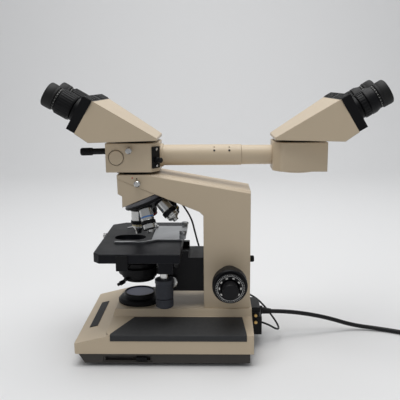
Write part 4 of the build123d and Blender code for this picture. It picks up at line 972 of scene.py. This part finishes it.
@dataclass
class BridgeUnit:
    """Splitter box, bridge tube and second box."""

    shop: Shop
    finishes: Finishes
    ring_r: float = 29.5

    def build(self) -> None:
        """Dress the bridge and add rings, screws, knurls and a port cap."""
        f, shop = self.finishes, self.shop
        for node, finish in {
                "splitter_box": f.cream, "second_box": f.cream, "bridge_tube": f.cream,
                "bridge_tube_end": f.cream, "bridge_prisms": f.prism, "switch_plate": f.black,
                "switch_knob": f.plastic, "pointer_stick": f.plastic,
                "box_clamp_screw": f.chrome}.items():
            shop.dress(node, finish)
        pos, _ = joint("bridge_swivel")
        r = self.ring_r
        shop.lathe("dovetail_ring", "bridge", f.black, place(pos, (0, 0, 1)), [
            (r - 1, -3.4), (r + 0.12, -3.4), (r + 0.12, -0.05), (r - 1, -0.05)])
        low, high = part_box("bridge_tube")
        shop.lathe(
            "tube_seam_ring", "bridge", f.cream,
            place((high.x, 0, (low.z + high.z) / 2), (1, 0, 0)),
            [(13.6, -0.6), (14.75, -0.6), (14.75, -0.1), (14.1, 0.5), (13.6, 0.5)])
        shop.lathe(
            "tube_collar", "bridge", f.cream, place((low.x, 0, (low.z + high.z) / 2), (1, 0, 0)),
            [(14.6, 0.1), (16.6, 0.1), (16.6, 3.4), (16.0, 4.2), (14.6, 4.2)])
        shop.screws(
            "set_screws", "bridge", f.dark,
            place((0.00825, -0.0128, (low.z + high.z) / 2 + 0.0075), (0, -0.86, 0.5), (1, 0, 0)),
            0.0015, 0.0003, [(-0.0107, 0, 0), (0.0107, 0, 0)])
        self._switch()
        pos, axis = joint("box_clamp_turn")
        shop.ribs(
            "box_clamp_knurl", "box_screw", f.chrome, place(pos + axis * 0.0055, axis), 28, 0.0044,
            (0.0004, 0.0005, 0.0050))
        box_low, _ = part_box("splitter_box")
        cap = place((box_low.x + 0.015, pos.y - 0.0005, pos.z - 0.0103), (0, -1, 0))
        shop.lathe("port_cap", "bridge", f.cream, cap, [
            (0, 0.05), (0, 0.55), (9.6, 0.55), (10.2, 0.1), (10.6, 0.1), (10.9, 0.5), (10.9, 0.05)])

    def _switch(self) -> None:
        """Screws of the switch plate, the selector's knurl and the pointer's knurl."""
        f, shop = self.finishes, self.shop
        pos, axis = joint("selector_turn")
        low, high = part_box("switch_plate")
        mid = (low + high) / 2
        face = place(mid + axis.normalized() * 0.001, axis, (0, 0, 1))
        shop.screws("switch_screws", "bridge", f.chrome, face, 0.0019, 0.0010, [
            (0.0115, 0, 0.0003), (-0.0115, 0, 0.0003)])
        shop.ribs(
            "selector_knurl", "selector", f.plastic, place(pos + axis.normalized() * 0.0037, axis),
            20, 0.0040, (0.0004, 0.0006, 0.0020))
        pos, _ = joint("pointer_tilt")
        axis = Vector((-1, 0, -0.02)).normalized()
        shop.ribs(
            "pointer_knurl", "stick", f.plastic, place(pos + axis * 0.0295, axis), 30, 0.0053,
            (0.0004, 0.0006, 0.0130))


@dataclass
class HeadUnit:
    """One binocular head with its plates and two eyepieces."""

    shop: Shop
    finishes: Finishes
    side: Side
    rib_count: int = 26
    rib_pitch: float = 0.0022
    plate_top: tuple[float, float] = (48.2, 55.2)
    plate_thick: float = 13.0
    ring_r: float = 27.5
    slope: Vector = field(default_factory=lambda: Vector((cos(radians(30)), 0, 0.5)))

    def build(self) -> None:
        """Dress the head's nodes, then add its ribs, its rail, a black ring painted as the shade of
        the seam under it, and eyepieces.
        """
        f, shop = self.finishes, self.shop
        tag = self.side.name.lower()
        shop.dress(f"{tag}_head_housing", f.cream)
        shop.dress(f"{tag}_face_plate", f.black)
        for spot in Place:
            shop.dress(f"{tag}_tube_{spot.name.lower()}", f.black)
        s = self.side.value
        pos, _ = joint(f"{tag}_head_swivel")
        out = Vector((self.slope.x * s, 0, self.slope.z))
        rise = Vector((-self.slope.z * s, 0, self.slope.x))
        top = pos + Vector(
            (s * self.plate_top[0], 0, self.plate_top[1])) * MM + out * self.plate_thick / 2 * MM
        for spot in Place:
            where = top + Vector((0, spot.value * 0.0365, 0)) + rise * 0.0002
            shop.bars(
                f"{tag}_grip_ribs_{spot.name.lower()}", f"{tag}_head", f.plastic,
                place(where, rise, (0, 1, 0)), self.rib_count, self.rib_pitch,
                (0.0011, self.plate_thick * 0.86 * MM, 0.0009))
            self._eyepiece(tag, spot)
        r = self.ring_r
        # Black ring painted as the shade in the recess between the head and its box.
        shop.lathe(f"{tag}_neck_ring", f"{tag}_head", f.black, place(pos, (0, 0, 1)), [
            (r - 1, -3.68), (r + 0.1, -3.68), (r + 0.93, -0.6), (r + 0.93, -0.05), (r - 1, -0.05)])
        rail = pos + Vector(
            (s * self.plate_top[0], 0, self.plate_top[1])) * MM - out * 0.0006 - rise * 0.0015
        shop.bars(
            f"{tag}_rail", f"{tag}_head", f.black, place(rail, rise, (0, 1, 0)), 1, 0.01,
            (0.124, 0.0016, 0.0030))

    def _eyepiece(self, tag: str, spot: Place) -> None:
        """Build one detailed eyepiece in place of its plain solid.

        Args:
            tag: left or right.
            spot: near or far eyepiece.
        """
        f, shop = self.finishes, self.shop
        name = spot.name.lower()
        pos, axis = joint(f"{tag}_dioptre_{name}")
        at = place(pos, axis)
        body = f"{tag}_eyepiece_{name}"
        fluted = self.side is Side.LEFT
        if fluted:
            sleeve = [
                (15.1, 8.4), (17.4, 8.4), (17.9, 9.2), (17.9, 30.0), (17.0, 31.0), (15.4, 31.6),
                (15.1, 31.6)]
            flute = (20.0, 0.0190)
        else:
            sleeve = [
                (15.1, 8.4), (16.9, 8.4), (17.3, 9.0), (17.3, 17.0), (16.6, 17.4), (18.2, 19.0),
                (18.2, 25.0), (16.2, 30.6), (16.2, 31.4), (15.1, 31.6)]
            flute = (13.0, 0.0074)
        shop.lathe(f"{body}_sleeve", body, f.plastic, at, sleeve, 64, [body])
        count, radius = (30, 0.0178) if fluted else (26, 0.0173)
        shop.ribs(
            f"{body}_flutes", body, f.plastic, at @ Matrix.Translation((0, 0, flute[0] * MM)),
            count, radius, (0.0010, 0.0021, flute[1]))
        shop.lathe(
            f"{body}_ring", body, f.rubber, at,
            [(11.8, 31.9), (15.7, 31.9), (16.0, 32.3), (16.0, 34.7), (15.7, 35.1), (11.8, 35.1)],
            64)
        shop.ribs(
            f"{body}_ring_marks", body, f.white, at @ Matrix.Translation((0, 0, 33.5 * MM)), 24,
            0.0160, (0.0002, 0.0004, 0.0014))
        shop.lathe(
            f"{body}_cup", body, f.rubber, at,
            [
                (11.8, 35.2), (16.4, 35.2), (17.3, 36.0), (17.5, 38.0), (17.1, 38.6), (17.5, 39.3),
                (17.6, 47.6), (17.0, 49.6), (15.4, 50.8), (13.6, 50.9), (12.4, 50.0), (11.4, 46.0),
                (11.4, 44.4), (9.6, 44.0), (9.6, 43.2), (11.8, 43.0)],
            64)
        shop.lathe(
            f"{body}_lens", body, f.lens, at,
            [(0, 42.4), (9.7, 42.4), (9.7, 43.1), (7.5, 43.9), (4.0, 44.4), (0, 44.6)], 48)


@dataclass
class CordUnit:
    """Mains cord with its coil and plug, and the thin pointer cable."""

    shop: Shop
    finishes: Finishes
    diameter: float = 6.4
    cable_diameter: float = 2.8
    coil_mid: float = 5.6 * 6.4
    pitch: float = 6.75
    turn_points: int = 16
    turns: float = 6.66
    slot_turn: float = radians(300)
    ramp_start: float = radians(240)
    ramp: float = radians(60)

    ROUTE = (
        (106.0, 12.6, 37.4), (141.0, 19.5, 30.5), (176.0, 26.5, 20.6), (212.0, 31.5, 7.4),
        (250.0, 28.5, 3.25), (288.0, 12.0, 3.2), (322.0, -10.0, 3.2), (343.0, -33.0, 3.2))
    CABLE = (
        (-78.0, 35.0, 237.0), (-77.5, 43.5, 235.5), (-74.0, 50.0, 227.5), (-64.0, 53.0, 212.5),
        (-50.0, 53.5, 193.5), (-38.0, 53.0, 173.5), (-33.0, 52.5, 151.5), (-27.0, 52.0, 128.5),
        (-19.0, 51.0, 105.5), (-11.0, 49.5, 84.5), (4.0, 48.0, 69.5), (24.0, 46.0, 61.5),
        (44.5, 45.5, 56.5), (62.0, 38.5, 50.0), (76.0, 30.0, 38.0), (87.0, 19.0, 26.0),
        (94.0, 6.0, 18.0), (94.0, -8.0, 17.0), (87.0, -17.0, 22.0), (77.0, -21.0, 30.0),
        (66.0, -21.0, 34.0))

    def build(self) -> None:
        """Make both cords and dress the plug."""
        f, shop = self.finishes, self.shop
        start = Vector((66.0, 8.0, 41.0)) + Vector((1, 0.09, -0.13)).normalized() * 16.6
        points = [start] + [Vector(p) for p in self.ROUTE] + self._coil()
        shop.dress("cord_plug", f.rubber)
        cord = self._curve("mains_lead", points, self.diameter)
        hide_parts("main_cord", "cord_coil")
        cable = self._curve("pointer_lead", [Vector(p) for p in self.CABLE], self.cable_diameter)
        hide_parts("pointer_cable")

    def _coil(self) -> list[Vector]:
        """Points of the put-away turns and of the lead to the plug, in millimetres."""
        last, before = Vector(self.ROUTE[-1]), Vector(self.ROUTE[-2])
        run = (last - before).normalized()
        left = Vector((-run.y, run.x, 0))
        centre = last - left * self.coil_mid + run * 3.6 * self.diameter
        phase = pi / 2 + Vector((1, 0, 0)).angle(run) * (-1 if run.y < 0 else 1)
        outer, inner = self.coil_mid + self.pitch / 2, self.coil_mid - self.pitch / 2
        slots = [
            (outer, 0), (inner, 0), (inner, 1), (outer, 1), (outer, 2), (inner, 2), (inner, 3),
            (outer, 3)]
        step = 2 * pi / self.turn_points
        points: list[Vector] = []
        angle = 0.0
        end_angle = 2 * pi * self.turns
        while angle < end_angle:
            slot = min(int(angle // self.slot_turn), len(slots) - 1)
            share = max(0.0, (angle - slot * self.slot_turn - self.ramp_start) / self.ramp)
            nxt = slots[min(slot + 1, len(slots) - 1)]
            radius = slots[slot][0] + (nxt[0] - slots[slot][0]) * share
            layer = slots[slot][1] + (nxt[1] - slots[slot][1]) * share
            swing = phase - angle
            points.append(
                Vector(
                    (
                        centre.x + radius * cos(swing), centre.y + radius * sin(swing),
                        self.diameter / 2 + layer * self.pitch * 0.97)))
            angle += step
        low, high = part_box("cord_plug")
        tip = Vector(((low.x + high.x) / 2, high.y, (low.z + high.z) / 2)) / MM
        points = points[1:]
        back = points[-1]
        away = (points[-1] - points[-2]).normalized()
        points += [
            back + away * 18 + Vector((0, 0, -2)), tip + Vector((-7, 30, 4)),
            tip + Vector((-0.5, 14, 0)), tip]
        return points

    def _curve(self, name: str, points: list[Vector], diameter: float) -> bpy.types.Object:
        """Round curve piece through a route.

        Args:
            name: name of the piece.
            points: control points in millimetres.
            diameter: diameter in millimetres.

        Returns:
            The curve object.
        """
        curve = bpy.data.curves.new(name, "CURVE")
        curve.dimensions = "3D"
        curve.bevel_depth = diameter / 2 * MM
        curve.bevel_resolution = 5
        curve.resolution_u = 6
        curve.use_fill_caps = True
        line = curve.splines.new("NURBS")
        line.points.add(len(points) - 1)
        for point, place_at in zip(line.points, points):
            point.co = (*(place_at * MM), 1.0)
        line.order_u = 3
        line.use_endpoint_u = True
        curve.materials.append(self.shop.material(self.finishes.jacket))
        obj = bpy.data.objects.new(name, curve)
        bpy.context.scene.collection.objects.link(obj)
        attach(obj, "base")
        LOG.info("cord %s", name)
        return obj

    @staticmethod
    def _length(points: list[Vector], steps: int = 8) -> float:
        """Length in metres of the quadratic spline over control points."""
        mids = [points[0]] + [(a + b) / 2 for a, b in zip(points[1:], points[2:-1])] + [points[-1]]
        total = 0.0
        for start, control, end in zip(mids, points[1:-1], mids[1:]):
            last = start
            for i in range(1, steps + 1):
                t = i / steps
                now = start * (1 - t) ** 2 + control * 2 * t * (1 - t) + end * t * t
                total += (now - last).length
                last = now
        return total * MM


@dataclass(frozen=True)
class Lamp:
    """One square soft lamp: its place, the point it looks at, its width and its power."""

    name: str
    at: Triple
    aim: Triple
    size: float
    power: float


@dataclass
class Studio:
    """Floor, lights and camera."""

    lamps: tuple[Lamp, ...] = (
        Lamp("key", (-0.3, -0.35, 1.6), (0.0, 0.0, 0.15), 1.0, 10.2),
        Lamp("top", (0.2, 0.3, 1.7), (0.0, 0.0, 0.15), 1.3, 13.8),
        Lamp("wall", (0.0, 0.7, 2.2), (0.0, 2.4, 1.9), 1.6, 17.0))
    floor_color: tuple[float, float, float, float] = (0.80, 0.80, 0.80, 1)
    sky_color: tuple[float, float, float, float] = (0.95, 0.97, 1.0, 1)
    sky_strength: float = 0.35
    cove_y: float = 1.6
    cove_radius: float = 0.8

    eye: Triple = (-0.0004, -0.8587, 0.3847)
    pitch: float = 11.24
    yaw: float = 1.54
    roll: float = -0.47
    lens: float = 54.0

    def build(self) -> None:
        """Make the floor, the lamps, the world and the camera."""
        self._floor()
        for lamp in self.lamps:
            self._lamp(lamp)
        self._world()
        self._camera()
        bpy.context.scene.view_settings.view_transform = "Standard"

    def _floor(self) -> None:
        """Pale floor with a cove behind."""
        mesh = bpy.data.meshes.new("floor")
        bm = bmesh.new()
        rows = []
        y0, r = self.cove_y, self.cove_radius
        path = [(-3.0, 0.0), (y0, 0.0)]
        path += [(y0 + r * sin(a), r - r * cos(a)) for a in [radians(d) for d in range(6, 91, 6)]]
        path += [(2.4, 4.0)]
        for y, z in path:
            rows.append((bm.verts.new((-4, y, z - 0.0003)), bm.verts.new((4, y, z - 0.0003))))
        for a, b in zip(rows, rows[1:]):
            bm.faces.new((a[0], a[1], b[1], b[0]))
        bm.to_mesh(mesh)
        bm.free()
        mesh.polygons.foreach_set("use_smooth", [True] * len(mesh.polygons))
        material = bpy.data.materials.new("pale_floor")
        material.use_nodes = True
        shader = material.node_tree.nodes["Principled BSDF"]
        shader.inputs["Base Color"].default_value = self.floor_color
        shader.inputs["Roughness"].default_value = 0.7
        mesh.materials.append(material)
        obj = bpy.data.objects.new("floor", mesh)
        bpy.context.scene.collection.objects.link(obj)

    @staticmethod
    def _lamp(lamp: Lamp) -> None:
        """Set up one lamp."""
        light = bpy.data.lights.new(lamp.name, "AREA")
        light.size = lamp.size
        light.energy = lamp.power
        obj = bpy.data.objects.new(lamp.name, light)
        turn = (Vector(lamp.aim) - Vector(lamp.at)).to_track_quat("-Z", "Y").to_matrix().to_4x4()
        obj.matrix_world = Matrix.Translation(lamp.at) @ turn
        bpy.context.scene.collection.objects.link(obj)

    def _world(self) -> None:
        """Even pale surroundings."""
        world = bpy.data.worlds.new("surroundings")
        bpy.context.scene.world = world
        world.use_nodes = True
        background = world.node_tree.nodes["Background"]
        background.inputs[0].default_value = self.sky_color
        background.inputs[1].default_value = self.sky_strength

    def _camera(self) -> None:
        """Camera on the near side, a little above the object and looking down at it."""
        p, y, r = radians(self.pitch), radians(self.yaw), radians(self.roll)
        look = Vector((-sin(y) * cos(p), cos(y) * cos(p), -sin(p)))
        right0 = Vector((cos(y), sin(y), 0))
        up0 = right0.cross(look)
        right = right0 * cos(r) + up0 * sin(r)
        up = up0 * cos(r) - right0 * sin(r)
        data = bpy.data.cameras.new("camera")
        data.lens = self.lens
        data.sensor_width = 36.0
        data.clip_start = 0.05
        obj = bpy.data.objects.new("camera", data)
        rows = Matrix((right, up, -look)).transposed().to_4x4()
        obj.matrix_world = Matrix.Translation(self.eye) @ rows
        bpy.context.scene.collection.objects.link(obj)
        bpy.context.scene.camera = obj


def main() -> None:
    """Build every sub-assembly, then the studio."""
    logging.basicConfig(level=logging.INFO, format="%(name)s: %(message)s")
    shop = Shop()
    finishes = Finishes()
    units = [
        BaseUnit(shop, finishes), StandUnit(shop, finishes), FocusUnit(shop, finishes),
        StageUnit(shop, finishes), TurretUnit(shop, finishes), BridgeUnit(shop, finishes),
        HeadUnit(shop, finishes, Side.LEFT), HeadUnit(shop, finishes, Side.RIGHT),
        CordUnit(shop, finishes)]
    for unit in units:
        unit.build()
        LOG.info("%s done, %d pieces so far", type(unit).__name__, shop.count)
    Studio().build()


if __name__ == "__main__":
    main()
